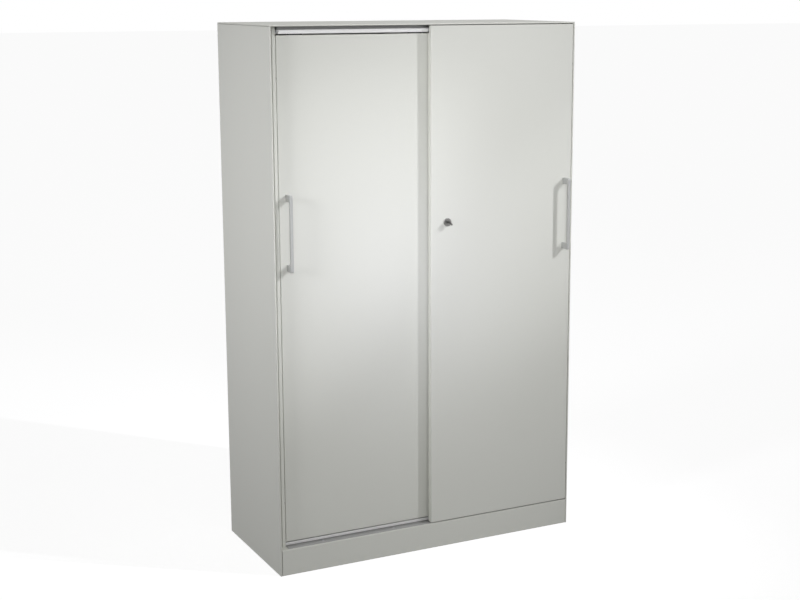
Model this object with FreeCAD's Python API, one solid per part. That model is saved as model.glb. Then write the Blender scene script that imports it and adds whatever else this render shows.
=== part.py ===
import FreeCAD, Part
import math
import os

# Steel office cabinet with two doors that slide past each other on rollers, three shelves,
# a plinth and a turning lock. Millimetres. X runs along the doors, Y from front to back and
# Z up. The origin is the middle of the bounding box's base, on the floor.

# ---- driving dimensions: the case -------------------------------------------------------
WIDTH = 1000.0  # over the side panels
HEIGHT = 1617.0  # floor to top
DEPTH = 435.0  # case and front door, without the handles
CASE_SHEET = 1.2  # steel of the case
DOOR_SHEET = 1.0  # steel of the doors and shelves
BEND = 0.8  # inner radius of every fold
SEAT = 0.3  # gap left where one piece rests on another
SLIDE_GAP = 0.5  # gap between a plastic slider and its groove

RIM_HEIGHT = 4.5  # turned-down edge of the top panel
RIM_RETURN = 15.0
LIP_WIDTH = 4.5  # hemmed front edge of a side panel
LIP_RETURN = 15.0
BACK_RETURN = 22.0
PLINTH_HEIGHT = 80.0
PLINTH_JOINT = 1.5  # gap between the plinth and a side panel's lip
PLINTH_RETURN = 25.0
PLINTH_FOOT = 14.0  # flange that stands on the floor

UPRIGHT_OFFSET = 28.0  # outside of the case to an upright's inner web
UPRIGHT_SETBACK = 28.0  # front plane to an upright's front face
UPRIGHT_FACE = 11.0
UPRIGHT_DEPTH = 50.0
UPRIGHT_EDGE = 10.0
SLOT_HEIGHT = 12.0
SLOT_WIDTH = 4.0
SLOT_PITCH = 32.0
SLOT_END = 60.0  # upright's end to its first slot
SLOT_SETBACK = 42.0  # upright's outer face to its slots

FLOOR_RISE = 12.0  # cabinet floor above the plinth
FLOOR_EDGE = 25.0
FLOOR_RETURN = 14.0
BASE_RAIL_WIDTH = 60.0
BASE_RAIL_FOOT = 20.0  # base rail's lower edge above the floor
BACK_SHEET = 1.0
BACK_LOW = 20.0  # back panel's lower edge above the floor
BEAD_WIDTH = 36.0  # pressed stiffening beads of the back panel
BEAD_DEPTH = 3.0
BEAD_SLOPE = 6.0
BEAD_END = 90.0
BEAD_COUNT = 3
TOP_RAIL_DEPTH = 30.0
TOP_RAIL_HEIGHT = 26.0

# ---- driving dimensions: the tracks -----------------------------------------------------
TRACK_WALL = 1.6
TRACK_CORNER = 0.2
TRACK_LOW = 25.0  # top of the case to the upper track's lower edge
FASCIA_HEIGHT = 10.0
FASCIA_TOP_DEPTH = 15.0  # front plane to the fascia's upper edge
FASCIA_FOOT_DEPTH = 20.5
FASCIA_GROOVE = 0.5
MIDDLE_WALL_DEPTH = 29.4  # front plane to the wall between the two grooves
REAR_GROOVE = 14.4
FOOT_TRACK_SETBACK = 5.0
FOOT_TRACK_BASE = 1.2
RUNNING_BEAD_WIDTH = 3.0
RUNNING_BEAD_HEIGHT = 1.6
FOOT_TRACK_DEPTH = 45.0
FOOT_TRACK_EDGE = 0.8
UNDERCUT_HEIGHT = 3.5  # recess at the foot of the lower track's riser
UNDERCUT_DEPTH = 3.0
HEAD_TRACK_GAP = 5.0  # upper track's end to an upright
NOTCH_GAP = 3.0  # room round the upper track in the front door's returns

# ---- driving dimensions: the doors ------------------------------------------------------
DOOR_DEPTH = 20.0
DOOR_FLANGE = 12.0
REAR_DOOR_SETBACK = 28.0
DOOR_OVERLAP = 26.0
FRONT_DOOR_MIDDLE_GAP = 2.0  # front door's inner edge, right of the middle
FRONT_DOOR_SIDE_GAP = 2.0
REAR_DOOR_SIDE_GAP = 1.2
FRONT_DOOR_LOW_GAP = 3.6  # above the plinth
FRONT_DOOR_TOP_GAP = 2.0  # below the rim
REAR_DOOR_LOW_GAP = 3.0  # above the cabinet floor
REAR_DOOR_TOP_GAP = 4.0  # below the upper track
STIFFENER_DEPTH = 17.0
STIFFENER_HEIGHT = 30.0
POST_WIDTH = 40.0

ROLLER_PLANE = 10.0  # door face to the roller's middle plane
ROLLER_WIDTH = 9.0
ROLLER_RADIUS = 12.0
ROLLER_GROOVE = 1.5
ROLLER_GROOVE_WIDTH = 4.2
ROLLER_INSET = 60.0
HUB_RADIUS = 4.5
HUB_PROUD = 0.8
AXLE_RADIUS = 2.5
AXLE_HEAD_RADIUS = 3.6
AXLE_HEAD = 1.0
BEARING_GAP = 0.05
BRACKET_PLATE = 1.5
BRACKET_WIDTH = 28.0
BRACKET_CROWN = 2.0
BRACKET_BELOW = 3.5
WHEEL_SLOT_GAP = 1.5  # room round a roller in the door's lower return

GUIDE_INSET = 60.0
GUIDE_LENGTH = 40.0
GUIDE_BODY = 10.0
GUIDE_TONGUE = 7.5
GUIDE_DROP = 3.0  # tongue's end above the front groove's floor
GUIDE_RISE = 16.0  # rear tongue above the rear door
GUIDE_OVER = 1.5  # front guide's arm above the fascia
GUIDE_FOOT = 12.0  # upper track to the stiffener that carries the guides

BUFFER_RADIUS = 5.0
BUFFER_DEPTH = 7.5  # door face to a buffer's axis
BUFFER_END = 120.0  # door's upper and lower edge to a buffer

# ---- driving dimensions: handles and lock -----------------------------------------------
HANDLE_PROJECTION = 34.0
HANDLE_HEIGHT = 223.0
HANDLE_WIDTH = 8.5
HANDLE_BAR = 8.0
HANDLE_ARM = 19.0
HANDLE_CENTRE = 1027.0  # above the floor
HANDLE_CORNER = 5.0
HANDLE_INNER_CORNER = 4.0
HANDLE_EDGE = 1.2
REAR_HANDLE_INSET = 23.8  # door's outer edge to the handle's middle
FRONT_HANDLE_INSET = 25.5
SCREW_RADIUS = 2.0
SCREW_HEAD_RADIUS = 4.0
SCREW_HEAD = 2.5
SCREW_LENGTH = 11.0
SCREW_GAP = 0.15

LOCK_INSET = 55.0  # front door's inner edge to the lock's axis
LOCK_HEIGHT = 1027.0
LOCK_COLLAR_RADIUS = 12.5
LOCK_COLLAR = 3.0
LOCK_COLLAR_EDGE = 1.0
LOCK_BODY_RADIUS = 9.0
LOCK_BODY_LENGTH = 19.0
LOCK_NUT_WIDTH = 23.0
LOCK_NUT = 4.0
PLUG_RADIUS = 6.5
PLUG_GAP = 0.15
PLUG_RECESS = 0.6
PLUG_TAIL = 3.2  # half the width of the square tail
CAM_THICKNESS = 2.5
CAM_LENGTH = 27.0
CAM_WIDTH = 10.0
CAM_HUB_RADIUS = 7.0
CAM_SCREW_RADIUS = 1.5
CAM_SCREW_HEAD_RADIUS = 4.5
CAM_SCREW_HEAD = 1.6
CAM_SCREW_DEPTH = 4.0
KEY_THICKNESS = 2.2
KEY_WIDTH = 7.4
KEY_DEPTH = 16.0
KEY_GAP = 0.3
KEY_NECK = 9.5
KEY_BOW_WIDTH = 17.0
KEY_BOW_LENGTH = 14.0
KEY_RING_RADIUS = 2.6
KEY_BOW_CORNER = 4.0
KEY_LEAN = 40.0  # degrees that the key leans to the left when unlocked

KEEPER_RISE = 13.0  # lock's axis to the keeper's lower edge
KEEPER_HEIGHT = 12.0
KEEPER_PLATE = 2.0
KEEPER_CLEARANCE = 2.0  # keeper to the cam when it is locked
KEEPER_DEPTH_GAP = 1.5  # behind the front door
KEEPER_LEG = 17.0
KEEPER_SCREW_RADIUS = 1.6
KEEPER_SCREW_HEAD_RADIUS = 2.8
KEEPER_SCREW_HEAD = 1.4
KEEPER_SCREW_REACH = 2.0  # its end past the door's return

# ---- driving dimensions: shelves and feet -----------------------------------------------
SHELF_NAMES = ("lower_shelf", "middle_shelf", "upper_shelf")
SHELF_SIDE_GAP = 2.5
SHELF_FRONT = 62.0  # front plane to a shelf's front edge
SHELF_BACK_GAP = 9.0
SHELF_EDGE = 25.0
SHELF_RETURN = 12.0
CLIP_THICKNESS = 3.0
CLIP_HEIGHT = 11.0
CLIP_NOSE = 12.0
CLIP_GAP = 0.3
PAD_RADIUS = 16.0
PAD_HEIGHT = 8.0
PAD_EDGE = 2.0
STUD_RADIUS = 4.0
STUD_TOP_GAP = 6.0
NUT_WIDTH = 13.0
NUT_HEIGHT = 6.5
FOOT_INSET = 80.0  # front and back plane to a levelling foot
FOOT_SIDE = 53.0  # outside of the case to a levelling foot
RIVET_RADIUS = 2.0
RIVET_HEAD_RADIUS = 3.5
RIVET_RADII = (RIVET_RADIUS, RIVET_HEAD_RADIUS)
BACK_RIVET_ROWS = 6
RIVET_HEAD = 1.0
RIVET_STEP = 210.0  # wanted distance between track rivets

# ---- places worked out from them --------------------------------------------------------
HALF = WIDTH / 2
FRONT = (HANDLE_PROJECTION - DEPTH) / 2  # the case's front plane
BACK = FRONT + DEPTH
TOP_UNDERSIDE = HEIGHT - CASE_SHEET
RIM_LOW = HEIGHT - RIM_HEIGHT
CASE_TOP = RIM_LOW - SEAT
SKIN_INSIDE = HALF - CASE_SHEET  # inner face of a side panel
UPRIGHT_WEB = HALF - UPRIGHT_OFFSET  # inner face of an upright
FLOOR_TOP = PLINTH_HEIGHT + FLOOR_RISE
TRACK_FOOT = HEIGHT - TRACK_LOW  # upper track's lower edge
FASCIA_TOP = TRACK_FOOT + FASCIA_HEIGHT
TRACK_END = UPRIGHT_WEB - SEAT
BEAD_FRONT_TOP = PLINTH_HEIGHT + FOOT_TRACK_BASE + RUNNING_BEAD_HEIGHT
BEAD_REAR_TOP = FLOOR_TOP + RUNNING_BEAD_HEIGHT
REAR_GROOVE_FRONT = MIDDLE_WALL_DEPTH + TRACK_WALL
REAR_GROOVE_BACK = REAR_GROOVE_FRONT + REAR_GROOVE


def at(depth):
    """Y of a plane that lies a depth behind the case's front plane."""
    return FRONT + depth


# ---- shapes that several pieces use -----------------------------------------------------
def block(x, y, z):
    """Box between two values on each axis."""
    size = [high - low for low, high in (x, y, z)]
    return Part.makeBox(*size, FreeCAD.Vector(x[0], y[0], z[0]))


def spot(axis, along, u, v):
    """Point of a section plane: the two other axes in their order are u and v."""
    if axis == "x":
        return FreeCAD.Vector(along, u, v)
    if axis == "y":
        return FreeCAD.Vector(u, along, v)
    return FreeCAD.Vector(u, v, along)


def cylinder(axis, radius, u, v, span):
    """Cylinder along an axis, over a span, with its centre line at (u, v)."""
    start, way = spot(axis, span[0], u, v), spot(axis, 1, 0, 0)
    return Part.makeCylinder(radius, span[1] - span[0], start, way)


def outline(points, radii):
    """Closed wire through the points, with each corner rounded by its radius."""
    starts, ends, arcs = [], [], []
    for i, corner in enumerate(points):
        come = (corner - points[i - 1]).normalize()
        leave = (points[(i + 1) % len(points)] - corner).normalize()
        turn = come.getAngle(leave)
        if radii[i] < 1e-6 or turn < 1e-6:
            starts.append(corner)
            ends.append(corner)
            arcs.append(None)
            continue
        reach = radii[i] * math.tan(turn / 2)
        inward = (leave - come).normalize()
        middle = corner + inward * (radii[i] / math.cos(turn / 2) - radii[i])
        starts.append(corner - come * reach)
        ends.append(corner + leave * reach)
        arcs.append(Part.Arc(starts[-1], middle, ends[-1]).toShape())
    edges = []
    for i, arc in enumerate(arcs):
        if (starts[i] - ends[i - 1]).Length > 1e-6:
            edges.append(Part.makeLine(ends[i - 1], starts[i]))
        if arc:
            edges.append(arc)
    return Part.Wire(edges)


def prism(axis, span, section, radii=None):
    """Section (u, v) carried straight along an axis, over a span."""
    points = [spot(axis, span[0], u, v) for u, v in section]
    face = Part.Face(outline(points, radii or [0] * len(points)))
    return face.extrude(spot(axis, span[1] - span[0], 0, 0))


def rounded_prism(axis, span, corners):
    """Prism of a section whose corners are given as (u, v, radius)."""
    return prism(axis, span, [(u, v) for u, v, _ in corners], [r for _, _, r in corners])


def beside(path, distance):
    """Path moved to the left of its run by a distance, with mitred corners."""
    moved = []
    for i, (u, v) in enumerate(path):
        normals = []
        for a, b in ((i - 1, i), (i, i + 1)):
            if a < 0 or b >= len(path):
                continue
            du, dv = path[b][0] - path[a][0], path[b][1] - path[a][1]
            length = math.hypot(du, dv)
            normals.append((-dv / length, du / length))
        nu, nv = sum(n[0] for n in normals), sum(n[1] for n in normals)
        share = len(normals) * distance / (nu * nu + nv * nv)
        moved.append((u + nu * share, v + nv * share))
    return moved


def folded(axis, span, path, thickness, bend=BEND):
    """Sheet folded along a path of its outer face; its thickness lies left of the run."""
    radii, inner_radii = [], []
    for a, b, c in zip(path, path[1:], path[2:]):
        left = (b[0] - a[0]) * (c[1] - b[1]) - (b[1] - a[1]) * (c[0] - b[0]) > 0
        radii.append(bend + thickness if left else bend)
        inner_radii.append(bend if left else bend + thickness)
    section = path + beside(path, thickness)[::-1]
    return prism(axis, span, section, [0, *radii, 0, 0, *inner_radii[::-1], 0])


def tray_form(spans, mouth, radius):
    """Box whose edges are rounded, apart from those round its mouth."""
    form = block(*spans)
    axis, end = mouth
    plane = spans[axis][end]
    closed = [e for e in form.Edges if any(abs(v.Point[axis] - plane) > 1e-6 for v in e.Vertexes)]
    return form.makeFillet(radius, closed)


def pan(spans, sheet, returns, mouth, bend=BEND):
    """Open sheet-metal tray with folded edges and returns round its mouth.

    The mouth is the side (axis, end) that is open, and returns are the flange widths that
    are left round it along the two other axes.
    """
    axis, end = mouth
    hollow = [(low + sheet, high - sheet) for low, high in spans]
    gap = [(low + width, high - width) for (low, high), width in zip(spans, returns)]
    gap[axis] = (hollow[axis][1], spans[axis][1]) if end else (spans[axis][0], hollow[axis][0])
    outer = tray_form(spans, mouth, bend + sheet)
    return outer.cut(tray_form(hollow, mouth, bend)).cut(block(*gap))


def mirrored(shape):
    """The same piece for the other side of the case."""
    return shape.mirror(FreeCAD.Vector(0, 0, 0), FreeCAD.Vector(1, 0, 0))


def nut(axis, width, u, v, span, hole):
    """Hexagonal nut along an axis with a plain bore."""
    corner = width / math.sqrt(3)
    angles = [math.radians(60 * i) for i in range(6)]
    section = [(u + corner * math.cos(a), v + corner * math.sin(a)) for a in angles]
    return prism(axis, span, section).cut(cylinder(axis, hole, u, v, span))


def headed(axis, radii, u, v, head, end):
    """Screw or rivet with (shank, head) radii: a head over a span and a shank from it to `end`."""
    start = head[0] if end < head[0] else head[1]
    shank = cylinder(axis, radii[0], u, v, sorted((start, end)))
    return cylinder(axis, radii[1], u, v, head).fuse(shank)


def spread(low, high, count):
    """Middles of equal stretches between two ends."""
    return [low + (high - low) * (i + 0.5) / count for i in range(count)]


def save(node, *solids):
    """Writes one node: a solid, or a group of equal separate solids."""
    shape = solids[0] if len(solids) == 1 else Part.makeCompound(list(solids))
    shape.exportStep(f"parts/{node}.step")


os.makedirs("parts", exist_ok=True)

# ---- side panels: folded steel with a hemmed front lip and a back flange ----------------
side_path = [
    (-HALF + BACK_RETURN, BACK),
    (-HALF, BACK),
    (-HALF, FRONT),
    (-HALF + LIP_WIDTH, FRONT),
    (-HALF + LIP_WIDTH, at(LIP_RETURN)),
]
left_side = folded("z", (0, CASE_TOP), side_path, CASE_SHEET, BEND / 2)
save("left_side_panel", left_side)
save("right_side_panel", mirrored(left_side))

# ---- top panel: a shallow tray, mouth down, that lies on the side panels ----------------
top_spans = [(-HALF, HALF), (FRONT, BACK), (RIM_LOW, HEIGHT)]
save("top_panel", pan(top_spans, CASE_SHEET, (RIM_RETURN, RIM_RETURN, 0), (2, 0)))

# ---- back panel: a sheet with pressed beads, riveted inside the back flanges ------------
back_face = BACK - CASE_SHEET - SEAT
back_inside = back_face - BACK_SHEET
back_half = SKIN_INSIDE - SEAT
back_top = CASE_TOP - SEAT
bead_low, bead_high = BACK_LOW + BEAD_END, back_top - BEAD_END
rivet_x = HALF - BACK_RETURN / 2
rivet_heights = spread(BACK_LOW, back_top, BACK_RIVET_ROWS)
rivet_spots = [(x, z) for x in (-rivet_x, rivet_x) for z in rivet_heights]


def bead_form(centre, grow):
    """Form of a bead, wide at the sheet's outer face, grown by a wall."""
    half = BEAD_WIDTH / 2 + grow
    crown = back_face - BEAD_DEPTH - grow
    section = [
        (centre - half, back_face),
        (centre - half + BEAD_SLOPE, crown),
        (centre + half - BEAD_SLOPE, crown),
        (centre + half, back_face),
    ]
    return prism("z", (bead_low - grow, bead_high + grow), section)


back_panel = block((-back_half, back_half), (back_inside, back_face), (BACK_LOW, back_top))
for centre in spread(-back_half, back_half, BEAD_COUNT):
    back_panel = back_panel.fuse(bead_form(centre, BACK_SHEET)).cut(bead_form(centre, 0))
for x, z in rivet_spots:
    hole = cylinder("y", RIVET_RADIUS + SCREW_GAP, x, z, (back_inside, back_face))
    back_panel = back_panel.cut(hole)
save("back_panel", back_panel)
head = (back_inside - RIVET_HEAD, back_inside)
back_rivets = [headed("y", RIVET_RADII, x, z, head, back_face) for x, z in rivet_spots]
save("back_panel_rivets", *back_rivets)

# ---- plinth, base rails and cabinet floor -----------------------------------------------
plinth_half = HALF - LIP_WIDTH - PLINTH_JOINT
foot_track_back = FOOT_TRACK_SETBACK + FOOT_TRACK_DEPTH
rail_top = FLOOR_TOP - FLOOR_EDGE - SEAT
track_rivet_count = max(2, round(2 * TRACK_END / RIVET_STEP))
track_rivet_x = spread(-TRACK_END, TRACK_END, track_rivet_count)
foot_rivet_y = at((FOOT_TRACK_SETBACK + ROLLER_PLANE + REAR_DOOR_SETBACK) / 2)

front_path = [
    (at(PLINTH_FOOT), 0),
    (FRONT, 0),
    (FRONT, PLINTH_HEIGHT),
    (at(foot_track_back), PLINTH_HEIGHT),
]
plinth_front = folded("x", (-plinth_half, plinth_half), front_path[::-1], CASE_SHEET)
for end in (-plinth_half, plinth_half - CASE_SHEET):
    inner = (CASE_SHEET + SEAT, PLINTH_HEIGHT - CASE_SHEET)
    wing = block((end, end + CASE_SHEET), (at(CASE_SHEET), at(PLINTH_RETURN)), inner)
    plinth_front = plinth_front.fuse(wing)
for x in track_rivet_x:
    hole = cylinder("z", RIVET_RADIUS + SCREW_GAP, x, foot_rivet_y, (0, PLINTH_HEIGHT))
    plinth_front = plinth_front.cut(hole)
save("plinth_front", plinth_front)

rear_face = back_inside - SEAT
rear_path = [
    (rear_face - PLINTH_FOOT, 0),
    (rear_face, 0),
    (rear_face, rail_top),
    (rear_face - PLINTH_RETURN, rail_top),
]
rear_half = SKIN_INSIDE - SEAT
save("plinth_rear", folded("x", (-rear_half, rear_half), rear_path, CASE_SHEET))

rail_outer = -SKIN_INSIDE + SEAT
rail_path = [
    (rail_outer + BASE_RAIL_WIDTH, rail_top),
    (rail_outer, rail_top),
    (rail_outer, BASE_RAIL_FOOT),
]
rail_span = (at(PLINTH_RETURN + SEAT), rear_face - PLINTH_RETURN - SEAT)
foot_x = HALF - FOOT_SIDE
foot_spots = [(x, y) for x in (-foot_x, foot_x) for y in (at(FOOT_INSET), BACK - FOOT_INSET)]
left_rail = folded("y", rail_span, rail_path, CASE_SHEET)
for x, y in foot_spots:
    left_rail = left_rail.cut(cylinder("z", STUD_RADIUS + SCREW_GAP, x, y, (0, PLINTH_HEIGHT)))
save("left_base_rail", left_rail)
save("right_base_rail", mirrored(left_rail))

floor_spans = [
    (-UPRIGHT_WEB + SEAT, UPRIGHT_WEB - SEAT),
    (at(foot_track_back + SEAT), rear_face),
    (rail_top + SEAT, FLOOR_TOP),
]
save("cabinet_floor", pan(floor_spans, CASE_SHEET, (FLOOR_RETURN, FLOOR_RETURN, 0), (2, 0)))

# ---- levelling feet: a pad on a threaded stud, and a nut under the base rail -------------
feet, foot_nuts = [], []
stud_top = FLOOR_TOP - CASE_SHEET - STUD_TOP_GAP
nut_span = (rail_top - CASE_SHEET - NUT_HEIGHT, rail_top - CASE_SHEET)
for x, y in foot_spots:
    pad = cylinder("z", PAD_RADIUS, x, y, (0, PAD_HEIGHT))
    pad = pad.makeFillet(PAD_EDGE, [pad.Edges[0]])
    feet.append(pad.fuse(cylinder("z", STUD_RADIUS, x, y, (PAD_HEIGHT, stud_top))))
    foot_nuts.append(nut("z", NUT_WIDTH, x, y, nut_span, STUD_RADIUS + BEARING_GAP))
save("levelling_feet", *feet)
save("levelling_nuts", *foot_nuts)

# ---- corner uprights: folded profiles with a row of shelf slots -------------------------
upright_span = (PLINTH_HEIGHT + SEAT, CASE_TOP)
slot_first = upright_span[0] + SLOT_END
slot_count = int((upright_span[1] - SLOT_END - slot_first) // SLOT_PITCH) + 1
slot_heights = [slot_first + SLOT_PITCH * i for i in range(slot_count)]


def upright(outer, inward):
    """Left upright whose outer face lies at Y `outer` and whose body runs inward from it."""
    web = -UPRIGHT_WEB
    path = [
        (web - UPRIGHT_FACE, outer + inward * UPRIGHT_EDGE),
        (web - UPRIGHT_FACE, outer),
        (web, outer),
        (web, outer + inward * UPRIGHT_DEPTH),
        (-SKIN_INSIDE + SEAT, outer + inward * UPRIGHT_DEPTH),
    ]
    shape = folded("z", upright_span, path[::inward], CASE_SHEET)
    slot_y = outer + inward * SLOT_SETBACK
    slots = [
        block(
            (web - CASE_SHEET, web),
            (slot_y - SLOT_WIDTH / 2, slot_y + SLOT_WIDTH / 2),
            (z - SLOT_HEIGHT / 2, z + SLOT_HEIGHT / 2),
        )
        for z in slot_heights
    ]
    return shape.cut(Part.makeCompound(slots)), slot_y


front_upright, front_slot_y = upright(at(UPRIGHT_SETBACK), 1)
rear_upright, rear_slot_y = upright(rear_face, -1)
save("left_front_upright", front_upright)
save("right_front_upright", mirrored(front_upright))
save("left_rear_upright", rear_upright)
save("right_rear_upright", mirrored(rear_upright))

# ---- upper track: one extrusion, its front groove open upwards and its rear one down -----
track_span = (-TRACK_END, TRACK_END)
head_span = (-UPRIGHT_WEB + HEAD_TRACK_GAP, UPRIGHT_WEB - HEAD_TRACK_GAP)
groove_rear_wall = at(REAR_GROOVE_BACK + TRACK_WALL)
front_channel = [
    (at(FASCIA_TOP_DEPTH), FASCIA_TOP),
    (at(FASCIA_FOOT_DEPTH), TRACK_FOOT),
    (at(REAR_GROOVE_FRONT), TRACK_FOOT),
    (at(REAR_GROOVE_FRONT), TOP_UNDERSIDE),
]
rear_channel = [
    (groove_rear_wall, TRACK_FOOT),
    (groove_rear_wall, TOP_UNDERSIDE),
    (at(REAR_GROOVE_FRONT), TOP_UNDERSIDE),
]
upper_track = folded("x", head_span, front_channel, TRACK_WALL, TRACK_CORNER)
upper_track = upper_track.fuse(folded("x", head_span, rear_channel, TRACK_WALL, TRACK_CORNER))
groove_y = at((FASCIA_TOP_DEPTH + FASCIA_FOOT_DEPTH) / 2)
groove_z = (FASCIA_TOP + TRACK_FOOT) / 2
groove_section = [
    (groove_y - FASCIA_GROOVE, groove_z - FASCIA_GROOVE),
    (groove_y + FASCIA_GROOVE, groove_z),
    (groove_y - FASCIA_GROOVE, groove_z + FASCIA_GROOVE),
]
upper_track = upper_track.cut(prism("x", head_span, groove_section))
ceiling = TOP_UNDERSIDE - TRACK_WALL
head_y = at((REAR_GROOVE_FRONT + REAR_GROOVE_BACK) / 2)
top_rivets = []
for x in track_rivet_x:
    hole = cylinder("z", RIVET_RADIUS + SCREW_GAP, x, head_y, (ceiling, TOP_UNDERSIDE))
    upper_track = upper_track.cut(hole)
    head = (ceiling - RIVET_HEAD, ceiling)
    top_rivets.append(headed("z", RIVET_RADII, x, head_y, head, TOP_UNDERSIDE))
save("upper_track", upper_track)
save("upper_track_rivets", *top_rivets)

rail_front = groove_rear_wall + SEAT
hat_path = [
    (rail_front, TOP_UNDERSIDE),
    (rail_front, TOP_UNDERSIDE - TOP_RAIL_HEIGHT),
    (rail_front + TOP_RAIL_DEPTH, TOP_UNDERSIDE - TOP_RAIL_HEIGHT),
    (rail_front + TOP_RAIL_DEPTH, TOP_UNDERSIDE),
]
save("top_front_rail", folded("x", track_span, hat_path, CASE_SHEET))

# ---- lower track: a stepped extrusion with a running bead for each door -----------------
base_top = PLINTH_HEIGHT + FOOT_TRACK_BASE
front_bead_y = at(ROLLER_PLANE)
rear_bead_y = at(REAR_DOOR_SETBACK + ROLLER_PLANE)
half_bead = RUNNING_BEAD_WIDTH / 2
step_y = at(REAR_DOOR_SETBACK)
lower_section = [
    (at(FOOT_TRACK_SETBACK), PLINTH_HEIGHT, 0),
    (at(foot_track_back), PLINTH_HEIGHT, 0),
    (at(foot_track_back), FLOOR_TOP, FOOT_TRACK_EDGE),
    (rear_bead_y + half_bead, FLOOR_TOP, 0),
    (rear_bead_y + half_bead, BEAD_REAR_TOP, FOOT_TRACK_EDGE),
    (rear_bead_y - half_bead, BEAD_REAR_TOP, FOOT_TRACK_EDGE),
    (rear_bead_y - half_bead, FLOOR_TOP, 0),
    (step_y, FLOOR_TOP, FOOT_TRACK_EDGE),
    (step_y, base_top + UNDERCUT_HEIGHT, 0),
    (step_y + UNDERCUT_DEPTH, base_top + UNDERCUT_HEIGHT, 0),
    (step_y + UNDERCUT_DEPTH, base_top, 0),
    (front_bead_y + half_bead, base_top, 0),
    (front_bead_y + half_bead, BEAD_FRONT_TOP, FOOT_TRACK_EDGE),
    (front_bead_y - half_bead, BEAD_FRONT_TOP, FOOT_TRACK_EDGE),
    (front_bead_y - half_bead, base_top, 0),
    (at(FOOT_TRACK_SETBACK), base_top, FOOT_TRACK_EDGE / 2),
]
lower_track = rounded_prism("x", track_span, lower_section)
hollow_back = at(foot_track_back) - TRACK_WALL
for front, low in (
    (step_y, base_top + UNDERCUT_HEIGHT + TRACK_WALL),
    (step_y + UNDERCUT_DEPTH, base_top),
):
    hollow = ((front + TRACK_WALL, hollow_back), (low, FLOOR_TOP - TRACK_WALL))
    lower_track = lower_track.cut(block(track_span, *hollow))
foot_rivets = []
for x in track_rivet_x:
    hole = cylinder("z", RIVET_RADIUS + SCREW_GAP, x, foot_rivet_y, (PLINTH_HEIGHT, base_top))
    lower_track = lower_track.cut(hole)
    head = (base_top, base_top + RIVET_HEAD)
    end = PLINTH_HEIGHT - CASE_SHEET
    foot_rivets.append(headed("z", RIVET_RADII, x, foot_rivet_y, head, end))
save("lower_track", lower_track)
save("lower_track_rivets", *foot_rivets)

# ---- shelves, hung on clips in the slots nearest to an even division --------------------
clear_height = TOP_UNDERSIDE - FLOOR_TOP
shelf_step = clear_height / (len(SHELF_NAMES) + 1)
shelf_half = UPRIGHT_WEB - SHELF_SIDE_GAP
shelf_span_y = (at(SHELF_FRONT), back_inside - SHELF_BACK_GAP)
seat_rise = CLIP_HEIGHT / 2 + CLIP_GAP  # slot's middle to a shelf's underside
clips = []
for i, name in enumerate(SHELF_NAMES):
    wanted = FLOOR_TOP + shelf_step * (i + 1) - SHELF_EDGE - seat_rise
    slot_z = slot_heights[round((wanted - slot_first) / SLOT_PITCH)]
    low = slot_z + seat_rise
    spans = [(-shelf_half, shelf_half), shelf_span_y, (low, low + SHELF_EDGE)]
    save(name, pan(spans, DOOR_SHEET, (SHELF_RETURN, SHELF_RETURN, 0), (2, 0)))
    for slot_y in (front_slot_y, rear_slot_y):
        clip = block(
            (-UPRIGHT_WEB - CASE_SHEET - CLIP_THICKNESS, -UPRIGHT_WEB + CLIP_NOSE),
            (slot_y - CLIP_THICKNESS / 2, slot_y + CLIP_THICKNESS / 2),
            (slot_z - CLIP_HEIGHT / 2, slot_z + CLIP_HEIGHT / 2),
        )
        clips += [clip, mirrored(clip)]
save("shelf_clips", *clips)

# ---- doors: what both have, each measured from its own face -----------------------------
guide_seat = TRACK_FOOT - GUIDE_FOOT  # upper stiffener's top
roller_drop = ROLLER_RADIUS - ROLLER_GROOVE  # roller's axis above its running bead
bracket_rise = ROLLER_RADIUS + BRACKET_CROWN  # roller's axis to the bracket's web

rear_door = {
    "name": "left",
    "left": -UPRIGHT_WEB + REAR_DOOR_SIDE_GAP,
    "right": FRONT_DOOR_MIDDLE_GAP + DOOR_OVERLAP,
    "face": REAR_DOOR_SETBACK,
    "low": FLOOR_TOP + REAR_DOOR_LOW_GAP,
    "top": TRACK_FOOT - REAR_DOOR_TOP_GAP,
    "axle": BEAD_REAR_TOP + SEAT + roller_drop,
    "handle": -UPRIGHT_WEB + REAR_DOOR_SIDE_GAP + REAR_HANDLE_INSET,
}
front_door = {
    "name": "right",
    "left": FRONT_DOOR_MIDDLE_GAP,
    "right": HALF - LIP_WIDTH - FRONT_DOOR_SIDE_GAP,
    "face": 0.0,
    "low": PLINTH_HEIGHT + FRONT_DOOR_LOW_GAP,
    "top": RIM_LOW - FRONT_DOOR_TOP_GAP,
    "axle": BEAD_FRONT_TOP + SEAT + roller_drop,
    "handle": HALF - LIP_WIDTH - FRONT_DOOR_SIDE_GAP - FRONT_HANDLE_INSET,
}
arm_reach = HANDLE_HEIGHT / 2 - HANDLE_ARM / 2
screw_heights = (HANDLE_CENTRE - arm_reach, HANDLE_CENTRE + arm_reach)


def roller_x(door):
    """X of a door's two rollers."""
    return (door["left"] + ROLLER_INSET, door["right"] - ROLLER_INSET)


def guide_x(door):
    """X of a door's two top guides."""
    return (door["left"] + GUIDE_INSET, door["right"] - GUIDE_INSET)


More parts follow.
